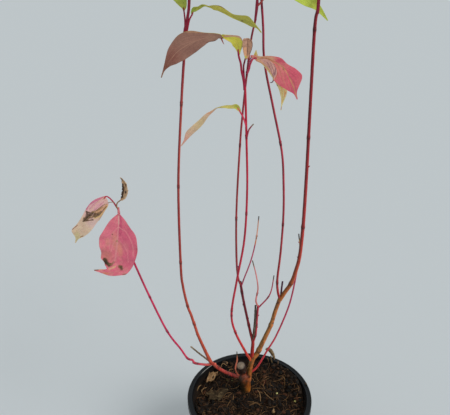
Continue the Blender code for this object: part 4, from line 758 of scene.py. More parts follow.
def speck_material(name, colour, roughness=0.85):
    """One plain colour, with a fine grain, for many small things."""
    paint = Paint(name)
    grain = paint.noise(paint.place(), 900.0, 2.0)
    dark = tuple(value * 0.7 for value in colour)
    return paint.finish(paint.mix(grain.between(0.35, 0.65), dark, colour), roughness, grain, 0.0002,
                        Specular_IOR_Level=0.3)


def bark_material():
    """Smooth young bark: its tint from the mesh, with streaks, pores and a dull film."""
    paint = Paint("young_bark")
    at = paint.place()
    tint = paint.attribute("tint")
    streaks = paint.noise(at, 420.0, 3.0, 0.6, (1.0, 1.0, 0.1))
    pores = paint.noise(at, 1100.0, 1.0, 0.5, (1.0, 1.0, 0.45)).between(0.68, 0.74)
    film = paint.noise(at, 70.0, 3.0).between(0.55, 0.8)
    colour = paint.mix(streaks.between(0.34, 0.62), paint.scaled(tint, 0.74), tint)
    colour = paint.mix(film * 0.1, colour, seen(140, 104, 80))
    colour = paint.mix(pores * 0.25, colour, seen(206, 140, 110))
    return paint.finish(colour, film * 0.2 + 0.4, streaks + pores, 0.00025, Specular_IOR_Level=0.3)


def old_bark_material():
    """Older bark: its tint from the mesh, with cracks, corky pores and a grey-green film."""
    paint = Paint("old_bark")
    at = paint.place()
    tint = paint.attribute("tint")
    cracks = paint.noise(at, 330.0, 4.0, 0.65, (1.0, 1.0, 0.35))
    pores = paint.noise(at, 620.0, 2.0, 0.5, (1.0, 1.0, 1.6)).between(0.66, 0.74)
    film = paint.noise(at, 90.0, 4.0, 0.6).between(0.55, 0.72)
    colour = paint.mix(cracks.between(0.36, 0.55), paint.scaled(tint, 0.5), tint)
    colour = paint.mix(film * 0.22, colour, seen(120, 112, 78))
    colour = paint.mix(pores * 0.5, colour, seen(190, 140, 96))
    return paint.finish(colour, film * 0.2 + 0.55, cracks + pores * 0.5, 0.0006)


def dead_material():
    """Dead wood: its tint from the mesh, weathered in long grey cracks."""
    paint = Paint("dead_wood")
    at = paint.place()
    tint = paint.attribute("tint")
    cracks = paint.noise(at, 700.0, 3.0, 0.6, (1.0, 1.0, 0.12)).between(0.36, 0.6)
    bloom = paint.noise(at, 260.0, 3.0).between(0.56, 0.7)
    colour = paint.mix(cracks, paint.scaled(tint, 0.5), tint)
    colour = paint.mix(bloom * 0.3, colour, seen(150, 142, 128))
    return paint.finish(colour, 0.8, cracks, 0.0004)


def leaf_material(name, side, vein, strength, curve, veins):
    """One side of a leaf: its tint from the mesh, fine veins by the blade's layout, and a soft mottle."""
    paint = Paint(name)
    across, along, _ = paint.split(paint.node("ShaderNodeUVMap", {"uv_map": "blade"}))
    out = abs(across * 2 - 1)
    line = (1 - out * VEIN_SWEEP).maths("LOGARITHM", math.e) / curve + along
    wave = abs((line * veins).maths("FRACT") - 0.5) * 2
    side_veins = ((wave - 0.86) / 0.14).maths("MAXIMUM", 0.0) * out.between(1.0, 0.5)
    rib = out.between(0.05, 0.015) * along.between(1.0, 0.7)
    at = paint.place()
    net = paint.node("ShaderNodeTexVoronoi", {"feature": "DISTANCE_TO_EDGE"}, {"Vector": at, "Scale": 800.0})
    net = net.between(0.12, 0.02)
    mottle = paint.noise(at, 300.0, 4.0, 0.6)
    grain = paint.noise(at, 1000.0, 2.0, 0.6)
    tint = paint.attribute(side)
    colour = paint.mix(mottle.between(0.3, 0.7), paint.scaled(tint, 0.92), paint.scaled(tint, 1.05))
    colour = paint.mix(grain.between(0.36, 0.6), paint.scaled(colour, 0.88), colour)
    lines = (side_veins * 0.75 + rib).maths("MINIMUM", 1.0)
    colour = paint.mix((lines + net * 0.25) * strength, colour, vein)
    rough = 0.46 if side == "tint" else 0.6
    return paint.finish(colour, mottle * 0.16 + rough, mottle * 0.3 + lines * 0.8, 0.00015,
                        Specular_IOR_Level=0.25)


def dry_material(name, colours):
    """A dead leaf: painted shade in the hollows and a painted highlight on the ridges of its bump, and small
    rotten spots.
    """
    paint = Paint(name)
    at = paint.place()
    cloud = paint.noise(at, 160.0, 4.0, 0.6)
    spots = paint.noise(at, 420.0, 2.0).between(0.6, 0.68)
    middle, pale, dark = (seen(*colour) for colour in colours)
    # painted shade where the bump is low and painted highlight where it is high
    colour = paint.mix(cloud.between(0.3, 0.5), dark, middle)
    colour = paint.mix(cloud.between(0.52, 0.7), colour, pale)
    return paint.finish(paint.mix(spots * 0.6, colour, dark), 0.85, cloud + spots * 0.4, 0.0009,
                        Specular_IOR_Level=0.12)


def noise_at(points, cell, shift=0.0):
    """Smooth noise from -1 to 1 at places, with cells of a size in millimetres."""
    return np.array([noise.noise(Vector(point)) for point in np.asarray(points, float) / cell + shift])


def grid_faces(rows, columns, closed=False):
    """Faces of a grid of points, row by row; closed joins its last column to its first."""
    row, column = np.meshgrid(np.arange(rows - 1), np.arange(columns - (not closed)), indexing="ij")
    here = row * columns + column
    right = row * columns + (column + 1) % columns
    return np.stack([here, right, right + columns, here + columns], axis=-1).reshape(-1, 4)


class Shape:
    """Points in millimetres, faces, a colour at each point, and each face's place among the materials."""

    def __init__(self, points, faces, tint=(0.5, 0.5, 0.5), look=0):
        self.points = np.asarray(points, float)
        self.faces = [tuple(int(i) for i in face) for face in faces]
        self.tint = np.array(np.broadcast_to(tint, self.points.shape))
        self.looks = [look] * len(self.faces)


def joined(shapes):
    """Several shapes as one."""
    whole = Shape(np.vstack([shape.points for shape in shapes]), [])
    whole.tint = np.vstack([shape.tint for shape in shapes])
    start = 0
    for shape in shapes:
        whole.faces += [tuple(i + start for i in face) for face in shape.faces]
        whole.looks += shape.looks
        start += len(shape.points)
    return whole


def choose(piece):
    """Make a piece the only one selected, and active."""
    bpy.ops.object.select_all(action="DESELECT")
    piece.select_set(True)
    bpy.context.view_layer.objects.active = piece


def apply_modifier(piece, kind, **settings):
    """Add a modifier to a piece with its settings, and apply it."""
    choose(piece)
    modifier = piece.modifiers.new(kind.lower(), kind)
    for name, setting in settings.items():
        setattr(modifier, name, setting)
    if bpy.ops.object.modifier_apply(modifier=modifier.name) != {"FINISHED"}:
        raise RuntimeError(f"{piece.name}: the {kind} modifier was not applied")


def dress(piece, materials, nodes=()):
    """Give a piece its materials, tie it to the root body, and hide the CAD nodes that it replaces."""
    piece.data.materials.clear()
    for made in materials:
        piece.data.materials.append(made)
    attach(piece, "root")
    if nodes:
        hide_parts(*nodes)


def new_piece(name, shape, materials, nodes=()):
    """A piece of the object from a shape."""
    mesh = bpy.data.meshes.new(name)
    mesh.from_pydata((shape.points * MM).tolist(), [], shape.faces)
    piece = bpy.data.objects.new(name, mesh)
    bpy.context.scene.collection.objects.link(piece)
    dress(piece, materials, nodes)
    mesh.polygons.foreach_set("material_index", shape.looks)
    mesh.shade_smooth()
    paint_points(piece, "tint", shape.tint)
    return piece


def paint_points(piece, name, colours):
    """Store a colour for each point of a piece."""
    attribute = piece.data.color_attributes.new(name, "FLOAT_COLOR", "POINT")
    attribute.data.foreach_set("color", np.hstack([colours, np.ones((len(colours), 1))]).ravel())


def smooth_path(rows, per_span=24):
    """Rows that begin x, y, z, read off a smooth curve through them, finely."""
    knots = np.asarray(rows, float)
    knots = np.vstack([2 * knots[0] - knots[1], knots, 2 * knots[-1] - knots[-2]])
    t = (np.arange(per_span) / per_span)[:, None]
    spans = [0.5 * (2 * b + (c - a) * t + (2 * a - 5 * b + 4 * c - d) * t ** 2
                    + (3 * b - a - 3 * c + d) * t ** 3)
             for a, b, c, d in zip(knots, knots[1:], knots[2:], knots[3:])]
    return np.vstack(spans + [knots[-2][None, :]])


def run_length(path):
    """The distance along a path at each of its points."""
    steps = np.linalg.norm(np.diff(path[:, :3], axis=0), axis=1)
    return np.concatenate([[0.0], np.cumsum(steps)])


def read_at(path, places):
    """The rows of a path at given distances along it."""
    along = run_length(path)
    return np.stack([np.interp(places, along, column) for column in path.T], axis=1)


def blade_frames(stations, front):
    """Midrib, direction across and upper side at each station of a blade whose face looks to the front."""
    run = np.gradient(stations[:, :3], axis=0)
    run /= np.linalg.norm(run, axis=1)[:, None]
    face = np.asarray(front, float) - (run @ np.asarray(front, float))[:, None] * run
    face /= np.linalg.norm(face, axis=1)[:, None]
    side = np.cross(face, run)
    turn = np.radians(stations[:, 5])[:, None]
    across = np.cos(turn) * side + np.sin(turn) * face
    upper = np.cos(turn) * face - np.sin(turn) * side
    return stations[:, :3], across, upper


def blade_points(rows, front, count, columns, fold=FOLD):
    """A grid of points on a blade: (count + 1) rows of (columns + 1)."""
    path = smooth_path(rows)
    stations = read_at(path, np.linspace(0, run_length(path)[-1], count + 1))
    midrib, across, upper = blade_frames(stations, front)
    share = np.linspace(-1, 1, columns + 1)[None, :]
    half = np.where(share < 0, stations[:, 3:4], stations[:, 4:5])
    half = np.maximum(half, 0.5)
    lift = math.sin(math.radians(fold)) * np.abs(share) * half
    spread = math.cos(math.radians(fold)) * share * half
    return midrib[:, None] + across[:, None] * spread[..., None] + upper[:, None] * lift[..., None]


def fine_blade(rows, front, count, columns, bend, flap=None, jag=0.0):
    """A blade with its fold, cupping, waves, raised panels between the veins and a margin folded over.

    bend is a row in the form of those of BENDS. flap is the side, start and end along the blade and width
    of a margin folded over onto the upper side. jag is how far the margin is torn in.
    """
    fold, cup, wave, waves, curve, veins, *gathered = bend
    path = smooth_path(rows)
    stations = read_at(path, np.linspace(0, run_length(path)[-1], count + 1))
    midrib, across, upper = blade_frames(stations, front)
    along = np.linspace(0, 1, count + 1)[:, None]
    share = np.linspace(-1, 1, columns + 1)[None, :]
    side = np.sign(share)
    half = np.where(share < 0, stations[:, 3:4], stations[:, 4:5])
    half = np.maximum(half, 0.25 + 0.25 * np.abs(share))
    if jag:
        margin = np.stack([along[:, 0] * 40, along[:, 0] * 0 + 3.3, along[:, 0] * 0], axis=1)
        torn = np.stack([noise_at(margin + 9 * k, 1.7) for k in (0, 1)], axis=1)
        half = half * (1 + jag * np.where(share < 0, torn[:, :1], torn[:, 1:]))
    reach = np.abs(share) * half
    over = np.zeros_like(reach)
    if flap:
        flap_side, start, end, width = flap
        width = width * np.sin(math.pi * np.clip((along - start) / (end - start), 0, 1)) ** 0.7
        curl = 0.55
        reach = np.where(side == flap_side, np.abs(share) * (half + width), reach)
        past = np.clip(reach - half, 0, None)
        turned = np.minimum(past / curl, math.pi)
        over = curl * (1 - np.cos(turned))
        reach = np.where(past > 0, half + curl * np.sin(turned) - np.clip(past - math.pi * curl, 0, None),
                         reach)
    flat = np.clip(reach / half, 0, 1)
    size = np.minimum(half / 12, 1)
    line = along + np.log(1 - VEIN_SWEEP * flat) / curve
    panels = np.abs(np.sin(math.pi * veins * line)) ** 0.7 * (1 - flat ** 2) * size * PANEL
    ripple = wave * size * flat ** 2 * np.sin(math.tau * (waves * along + 0.31 * side + 0.1))
    if gathered:
        fold = fold + gathered[1] * np.exp(-((along - gathered[0]) / 0.05) ** 2)
    tilt = np.radians(fold)
    lift = cup * half * flat ** 2 + panels + ripple + over
    spread = side * (reach * np.cos(tilt) - lift * np.sin(tilt))
    lift = reach * np.sin(tilt) + lift * np.cos(tilt)
    points = midrib[:, None] + across[:, None] * spread[..., None] + upper[:, None] * lift[..., None]
    return points.reshape(-1, 3), np.broadcast_to(share, reach.shape).ravel()


def as_seen(points, depth):
    """The x and z of points moved along the camera's rays onto the plane y = depth."""
    share = (depth - CAMERA[1]) / (points[:, 1] - CAMERA[1])
    moved = CAMERA + (points - CAMERA) * share[:, None]
    return moved[:, 0], moved[:, 2]


def from_line(x, z, points):
    """The distance of places from a line through points."""
    away = np.full(x.shape, np.inf)
    for (x0, z0), (x1, z1) in zip(points, points[1:]):
        along = ((x - x0) * (x1 - x0) + (z - z0) * (z1 - z0)) / ((x1 - x0) ** 2 + (z1 - z0) ** 2)
        along = np.clip(along, 0, 1)
        away = np.minimum(away, np.hypot(x - x0 - along * (x1 - x0), z - z0 - along * (z1 - z0)))
    return away


def unit(bearing, rise):
    """A direction from its bearing about Z and its angle above level, in degrees."""
    bearing, rise = math.radians(bearing), math.radians(rise)
    return np.array([math.cos(bearing) * math.cos(rise), math.sin(bearing) * math.cos(rise),
                     math.sin(rise)])


def half_width(share):
    """A dogwood blade's half width along its length, 1 at the widest: oval, drawn out to a fine tip."""
    return 2.13 * share ** 0.72 * (1 - share) ** 1.25


def grown_leaf(root, bearing, size, draw):
    """A leaf by the rule: its petiole's rows and its blade's stations."""
    rise = draw.uniform(*RISE)
    droop = draw.uniform(*DROOP)
    length = draw.uniform(*BLADE_LENGTH) * size
    half = length * draw.uniform(*BLADE_ASPECT)
    twist = draw.uniform(-25, 25)
    run = draw.uniform(*PETIOLE_RUN) * (0.5 + 0.5 * size)
    base = root + unit(bearing, rise + 12) * run
    at = base
    stations = []
    for i in range(BLADE_STATIONS):
        share = i / (BLADE_STATIONS - 1)
        wide = max(half * half_width(share), 0.5)
        stations.append((*at, wide, wide, twist * share))
        at = at + unit(bearing, rise - droop * share) * length / (BLADE_STATIONS - 1)
    inside = base + unit(bearing, rise) * MIDRIB_RUN
    thick, thin = PETIOLE
    petiole = [(*root, thick), (*base, thin), (*inside, thin)]
    return petiole, stations


def crowded(points, taken):
    """Whether any point lies too near the points that are taken."""
    if not len(taken):
        return False
    gaps = np.linalg.norm(points[:, None] - taken[None], axis=2)
    return bool(gaps.min() < CLEARANCE)


def leaf_space(stations, front, first=0):
    """Points over a blade, from one of its cross rows on, for the test of its space."""
    return blade_points(stations, front, SPACE_ROWS, 6)[first:].reshape(-1, 3)


def stem_space(rows):
    """Points down a stem, for the test of its space."""
    path = smooth_path(rows)
    count = max(2, round(run_length(path)[-1] / 4))
    return read_at(path, np.linspace(0, run_length(path)[-1], count))[:, :3]


def grow_leaves(twig, heights, bearing, draw, near, foreign):
    """Pairs of leaves up a twig, and short side twigs with a pair each, kept to free space.

    near holds the points of the mass and its bough, foreign those of everything else.
    """
    path = smooth_path(twig)
    petioles, blades, used = [], [], []

    def try_leaf(root, towards, size):
        for _ in range(TRIES):
            aim = towards + draw.uniform(-BEARING_SPREAD, BEARING_SPREAD)
            petiole, stations = grown_leaf(root, aim, size, draw)
            outer = leaf_space(stations, UP, round(ROOT_SHARE * SPACE_ROWS))
            whole = np.vstack([leaf_space(stations, UP), stem_space(petiole)])
            low = outer[:, 2] < CROWN_FLOOR + CROWN_SLOPE * outer[:, 1]
            if not low.any() and not crowded(outer, near[0]) and not crowded(whole, foreign):
                petioles.append(petiole)
                blades.append(stations)
                used.append(whole)
                return

    for order, height in enumerate(heights):
        root = np.array([np.interp(height, path[:, 2], path[:, axis]) for axis in range(3)])
        share = order / max(len(heights) - 1, 1)
        size = 1 - (1 - TIP_SHARE) * share
        for side in (0, 180):
            towards = bearing + PAIR_TURN * order + side
            if draw.random() < SIDE_TWIG_CHANCE and 0 < order < len(heights) - 1:
                reach = draw.uniform(*SIDE_TWIG)
                tip = root + unit(towards, 55) * reach
                middle = (root + tip) / 2 + unit(towards, -20) * 2
                spur = [(*root, SIDE_TWIG_THICK[0]), (*middle, SIDE_TWIG_THICK[0]),
                        (*tip, SIDE_TWIG_THICK[1])]
                if not crowded(stem_space(spur)[3:], near[0]) and not crowded(stem_space(spur), foreign):
                    petioles.append(spur)
                    for turn in (90, -90):
                        try_leaf(tip - unit(towards, 55) * 2, towards + turn, TIP_SHARE)
                    used.append(stem_space(spur))
            try_leaf(root, towards, size)
        near[0] = np.vstack([near[0], *used])
        used.clear()
    return petioles, blades


def space_at_start():
    """Points of each limb, and of each mass's twigs and the leaves that show."""
    space = {name: stem_space(bends) for name, (bends, _) in LIMBS.items()}
    for name, (_, twigs, shown, _, _) in MASSES.items():
        points = [stem_space(rows) for rows in twigs]
        points += [leaf_space(LEAVES[leaf], FRONT) for leaf in shown]
        space[name] = np.vstack(points)
    return space


def tube(rows, sides=12, step=2.0, rings=(), relief=0.0, look=0):
    """A stem with rounded ends, swollen at its node rings, with an uneven surface.

    The shape also holds, for each point, its share of the length and the direction it faces.
    """
    path = smooth_path(rows)
    length = run_length(path)[-1]
    count = max(4, round(length / step))
    sections = read_at(path, np.linspace(0, length, count + 1))
    for height in rings:
        sections[:, 3] *= 1 + RING_SWELL * np.exp(-((sections[:, 2] - height) / RING_HALF) ** 2)
    run = np.gradient(sections[:, :3], axis=0)
    run /= np.linalg.norm(run, axis=1)[:, None]
    side = np.cross(run[0], (0.3, 1.0, 0.2))
    angles = np.linspace(0, math.tau, sides, endpoint=False)
    out = []
    for towards in run:
        side = side - towards * (side @ towards)
        side /= np.linalg.norm(side)
        out.append(np.cos(angles)[:, None] * side + np.sin(angles)[:, None] * np.cross(towards, side))
    out = np.array(out)
    radius = np.repeat(sections[:, 3:4] / 2, sides, axis=1)
    if relief:
        rough = noise_at((sections[:, None, :3] + out * 2).reshape(-1, 3), 3.0).reshape(radius.shape)
        radius = radius * (1 + relief * rough)
    points = (sections[:, None, :3] + out * radius[..., None]).reshape(-1, 3)
    start = sections[0, :3] - run[0] * sections[0, 3] * 0.25
    end = sections[-1, :3] + run[-1] * sections[-1, 3] * 0.25
    last = count * sides
    faces = grid_faces(count + 1, sides, closed=True).tolist()
    for i in range(sides):
        j = (i + 1) % sides
        faces += [(len(points), j, i), (len(points) + 1, last + i, last + j)]
    shape = Shape(np.vstack([points, start, end]), faces, look=look)
    shape.share = np.concatenate([np.repeat(np.linspace(0, 1, count + 1), sides), [0, 1]])
    shape.out = np.vstack([out.reshape(-1, 3), -run[0], run[-1]])
    return shape


def side_tints(share, out, stops):
    """Colours by stops of the length, with a left and a right side: the left darkened and the right
    lightened, partly as painted shade and painted light.
    """
    places = [stop[0] for stop in stops]
    left, right = (np.array([seen(*stop[side]) for stop in stops]) for side in (1, 2))
    left, right = (np.stack([np.interp(share, places, column) for column in colours.T], axis=1)
                   for colours in (left, right))
    # painted light: the side that faces +X, towards the lamp, takes the right colour, and the other side the
    # darker left
    lit = np.clip(0.5 + 0.75 * out[:, :1], 0, 1)
    return left + (right - left) * lit


def bud(root, towards, length, colour, thick=0.42, look=0):
    """A pointed bud from its root, its direction and its length."""
    shares = (0, 0.35, 0.7, 1)
    wide = np.array([0.8, 1, 0.7, 0.16]) * thick * length
    rows = [(*(np.asarray(root, float) + towards * length * share), w) for share, w in zip(shares, wide)]
    shape = tube(rows, 8, length / 6, look=look)
    shape.tint[:] = seen(*colour)
    return shape


def node_buds(bends, rings, colour):
    """A pair of buds at each node ring, each pair across the one below it."""
    path = smooth_path(bends)
    made = []
    for order, height in enumerate(rings):
        at = int(np.argmin(np.abs(path[:, 2] - height)))
        run = path[min(at + 3, len(path) - 1), :3] - path[max(at - 3, 0), :3]
        run /= np.linalg.norm(run)
        for side in (0, 180):
            out = unit(20 + PAIR_TURN * order + side, 0)
            out = out - run * (out @ run)
            out /= np.linalg.norm(out)
            root = path[at, :3] + out * path[at, 3] * 0.38 + run * 0.4
            made.append(bud(root, unit_of(run + out * 0.24), 2.6, colour, 0.38))
    return made


def wider(rows, by=WIDER):
    """Rows of a stem with its thickness enlarged."""
    return [(x, y, z, thick * by) for x, y, z, thick in rows]


def unit_of(vector):
    """A vector's direction."""
    return vector / np.linalg.norm(vector)


def soil_waves():
    """The seeded waves of the compost's surface: direction, wavelength and phase of each."""
    draw = random.Random(SEED)
    return [(draw.uniform(0, math.tau), draw.uniform(26, 60), draw.uniform(0, math.tau))
            for _ in range(LUMPS)]


def soil_height(x, y):
    """The compost's height at places given as arrays, with its banks, hills and lumps."""
    x, y = np.asarray(x, float), np.asarray(y, float)
    waves = sum(np.sin((x * math.cos(a) + y * math.sin(a)) * math.tau / long + phase)
                for a, long, phase in soil_waves())
    back = math.radians(HEAP_BEARING)
    into_heap = (x * math.cos(back) + y * math.sin(back) - HEAP_START) / (SHOULDER - HEAP_START)
    from_foot = np.hypot(x - TRUNK_FOOT[0], y - TRUNK_FOOT[1])
    fade = np.clip((from_foot - FOOT_FLAT) / FOOT_FLAT, 0, 1)
    level = SOIL + (LUMP * waves + HEAP * np.clip(into_heap, 0, None)) * fade
    out, turn = np.hypot(x, y), np.degrees(np.arctan2(y, x))
    for bearing, spread, start, run, high in BANKS:
        beside = np.exp(-((turn - bearing) / spread) ** 2)
        level += high * np.clip((out - start) / run, 0, 1) ** 1.3 * beside
    for hill_x, hill_y, radius, high in HILLS:
        level += high * np.exp(-((x - hill_x) ** 2 + (y - hill_y) ** 2) / radius ** 2)
    places = np.stack([x, y, np.zeros_like(x)], axis=-1).reshape(-1, 3)
    lumps = sum(height * noise_at(places, cell, cell) for height, cell in SOIL_LUMPS)
    return level + lumps.reshape(x.shape)


def wall_radius(height):
    """The outer radius of the pot's wall at a height."""
    return BASE_RADIUS + (SHOULDER - BASE_RADIUS) * height / POT_HEIGHT


def inside_wall(points):
    """Points of small things on the compost, moved in where they would reach into the pot's wall."""
    out = np.hypot(points[:, 0], points[:, 1])
    limit = wall_radius(np.minimum(points[:, 2], POT_HEIGHT)) - WALL - 0.3
    share = np.minimum(1, limit / np.maximum(out, 1))
    return points * np.stack([share, share, np.ones_like(share)], axis=1)


def ball(fineness):
    """The points and faces of a ball of radius 1 made of triangles."""
    made = bmesh.new()
    bmesh.ops.create_icosphere(made, subdivisions=fineness, radius=1.0)
    points = np.array([vertex.co for vertex in made.verts])
    faces = [[vertex.index for vertex in face.verts] for face in made.faces]
    made.free()
    return points, faces


def pot_profile():
    """The pot's rings of radius and height: inner floor, inner wall, rim, skirt, outer wall and foot."""
    inner = wall_radius(POT_HEIGHT) - WALL
    rings = [(1, FLOOR_TOP), (30, FLOOR_TOP), (wall_radius(FLOOR_TOP) - WALL - 3, FLOOR_TOP),
             (wall_radius(FLOOR_TOP) - WALL - 0.8, FLOOR_TOP + 0.5)]
    rings += [(wall_radius(z) - WALL, z) for z in (8, 40, 75, 100, 112, 120, 126)]
    rings += [(inner, 128), (inner + 0.2, 129.2), (inner + 0.7, 129.9), (inner + 1.4, 129.8),
              (inner + 1.9, 129.3), (inner + 2.5, 129.0), (RIM_RADIUS - 2.0, 129.1),
              (RIM_RADIUS - 1.5, 129.7), (RIM_RADIUS - 0.9, 130), (RIM_RADIUS - 0.3, 129.7),
              (RIM_RADIUS, 129), (RIM_RADIUS, 127), (RIM_RADIUS - 0.2, 126.5), (RIM_RADIUS - 0.2, 122)]
    rings += [(RIM_RADIUS - 0.1, 120.6), (RIM_RADIUS - 0.5, 120), (RIM_RADIUS - 1.3, 120.2),
              (RIM_RADIUS - WALL, 121.5), (RIM_RADIUS - WALL, 127.6), (wall_radius(128), 127.8),
              (wall_radius(126), 126)]
    for height in sorted(RIDGES, reverse=True):
        rings += [(wall_radius(z) + rise, z) for z, rise in
                  ((height + 1.2, 0), (height + 0.5, 0.45), (height - 0.5, 0.45), (height - 1.2, 0))]
    rings += [(wall_radius(6), 6), (wall_radius(1.4), 1.4), (BASE_RADIUS - 0.4, 0.4), (BASE_RADIUS - 1.2, 0),
              (FOOT_RING, 0), (FOOT_RING - RECESS, RECESS), (FOOT_DISC + RECESS, RECESS), (FOOT_DISC, 0),
              (1, 0)]
    return rings


class StageSettings(bpy.types.PropertyGroup):
    """Floor and light."""

    floor_colour: FloatVectorProperty(name="Floor colour", description="Colour of the floor", subtype="COLOR",
                                      size=3, min=0, max=1, default=(0.73, 0.765, 0.775))
    sky_colour: FloatVectorProperty(name="Sky colour", description="Soft light from all round",
                                    subtype="COLOR", size=3, min=0, max=1, default=(0.485, 0.515, 0.53))
    sun: FloatProperty(name="Sun", description="Strength of the soft lamp at the right", default=0.95, min=0)


class PotSettings(bpy.types.PropertyGroup):
    """Pot and compost."""

    sides: IntProperty(name="Pot sides", description="Faces round the pot", default=128, min=24, max=256)
    crumbs: IntProperty(name="Crumbs", description="Crumbs of compost", default=1900, min=0, max=6000)
    clods: IntProperty(name="Clods", description="Clods of compost", default=520, min=0, max=1500)
    fibres: IntProperty(name="Fibres", description="Fibres in the compost", default=900, min=0, max=2000)


class PlantSettings(bpy.types.PropertyGroup):
    """Stems and leaves."""

    sides: IntProperty(name="Stem sides", description="Faces round a stem", default=18, min=6, max=32)
    step: FloatProperty(name="Stem step", description="Length of a stem's faces", default=1.3 * MM,
                        unit="LENGTH", min=0.0005)
    bark_tint: FloatVectorProperty(name="Bark tint", description="Multiplies the young bark's colours",
                                   subtype="COLOR", size=3, min=0, max=1, default=(1, 1, 1))
    blade: FloatProperty(name="Blade thickness", description="Thickness of a leaf", default=0.4 * MM,
                         unit="LENGTH", min=0.0001)


class DOGWOOD_OT_pot(bpy.types.Operator):
    """Build the pot: wall, rolled rim, foot and drain holes"""

    bl_idname = "dogwood.pot"
    bl_label = "Pot"

    def execute(self, context):
        rings = pot_profile()
        bpy.ops.mesh.primitive_circle_add(vertices=context.scene.dogwood_pot.sides,
                                          radius=rings[0][0] * MM, location=(0, 0, 0))
        pot = context.active_object
        pot.name = pot.data.name = "pot_shell"
        bpy.ops.object.mode_set(mode="EDIT")
        bpy.ops.mesh.select_all(action="SELECT")
        bpy.ops.transform.translate(value=(0, 0, rings[0][1] * MM))
        for (radius, height), (wider, higher) in zip(rings, rings[1:]):
            bpy.ops.mesh.extrude_region_move(
                TRANSFORM_OT_translate={"value": (0, 0, (higher - height) * MM)})
            if wider != radius:
                bpy.ops.transform.resize(value=(wider / radius, wider / radius, 1))
        bpy.ops.mesh.select_all(action="SELECT")
        bpy.ops.mesh.fill_holes(sides=0)
        bpy.ops.mesh.normals_make_consistent(inside=False)
        bpy.ops.object.mode_set(mode="OBJECT")
        cutters = []
        for i in range(DRAINS):
            turn = math.tau * (i + 0.5) / DRAINS
            x, y = math.cos(turn), math.sin(turn)
            bpy.ops.mesh.primitive_cylinder_add(
                vertices=24, radius=DRAIN_RADIUS * MM, depth=2 * FLOOR_TOP * MM,
                location=(x * DRAIN_CIRCLE * MM, y * DRAIN_CIRCLE * MM, RECESS * MM))
            cutters.append(context.active_object)
            bpy.ops.mesh.primitive_cube_add(
                size=1.0, location=(x * BASE_RADIUS * MM, y * BASE_RADIUS * MM, 0), rotation=(0, 0, turn),
                scale=((BASE_RADIUS - FOOT_RING) * 3 * MM, NOTCH_WIDTH * MM, (2 * RECESS - 1) * MM))
            cutters.append(context.active_object)
        choose(cutters[0])
        for cutter in cutters:
            cutter.select_set(True)
        bpy.ops.object.join()
        cutter = context.active_object
        apply_modifier(pot, "BOOLEAN", object=cutter, operation="DIFFERENCE", solver="EXACT")
        bpy.data.objects.remove(cutter)
        choose(pot)
        bpy.ops.object.shade_smooth_by_angle(angle=math.radians(50))
        dress(pot, [plastic_material()], ["pot"])
        return {"FINISHED"}


class DOGWOOD_OT_compost(bpy.types.Operator):
    """Build the compost's body with its lumpy top"""

    bl_idname = "dogwood.compost"
    bl_label = "Compost"

    def execute(self, context):
        around, outward = 288, 84
        edge = wall_radius(SOIL) - WALL - 0.2
        bottom = FLOOR_TOP + 0.3
        turn = np.linspace(0, math.tau, around, endpoint=False)
        radii = edge * np.linspace(0.004, 1, outward) ** 0.8
        x = radii[:, None] * np.cos(turn)
        y = radii[:, None] * np.sin(turn)
        high = soil_height(x, y)
        top = np.stack([x, y, high], axis=-1)
        foot_radius = wall_radius(bottom) - WALL - 0.4
        foot = [np.stack([r * np.cos(turn), r * np.sin(turn), np.full(around, z)], axis=-1)
                for r, z in ((edge, SOIL - 4), (foot_radius, bottom), (0.4, bottom))]
        rows = np.concatenate([top, foot])
        points = rows.reshape(-1, 3)
        faces = grid_faces(len(rows), around, closed=True)[:, ::-1].tolist()
        faces.append(tuple(range(around)))
        faces.append(tuple(len(points) - 1 - i for i in range(around)))
        height = noise_at(points, 5.0, 7.0) * 0.5 + noise_at(points, 2.0) * 0.5
        warm = np.clip(0.5 + height, 0, 1)[:, None]
        tint = np.array(seen(15, 10, 7)) * (1 - warm) + np.array(seen(50, 35, 23)) * warm
        red = np.clip(noise_at(points, 16.0, 3.0) * 2, 0, 1)[:, None]
        tint = tint * (1 - red * 0.5) + np.array(seen(52, 31, 17)) * red * 0.5
        new_piece("compost_body", Shape(points, faces, tint), [ground_material()], ["compost"])
        return {"FINISHED"}


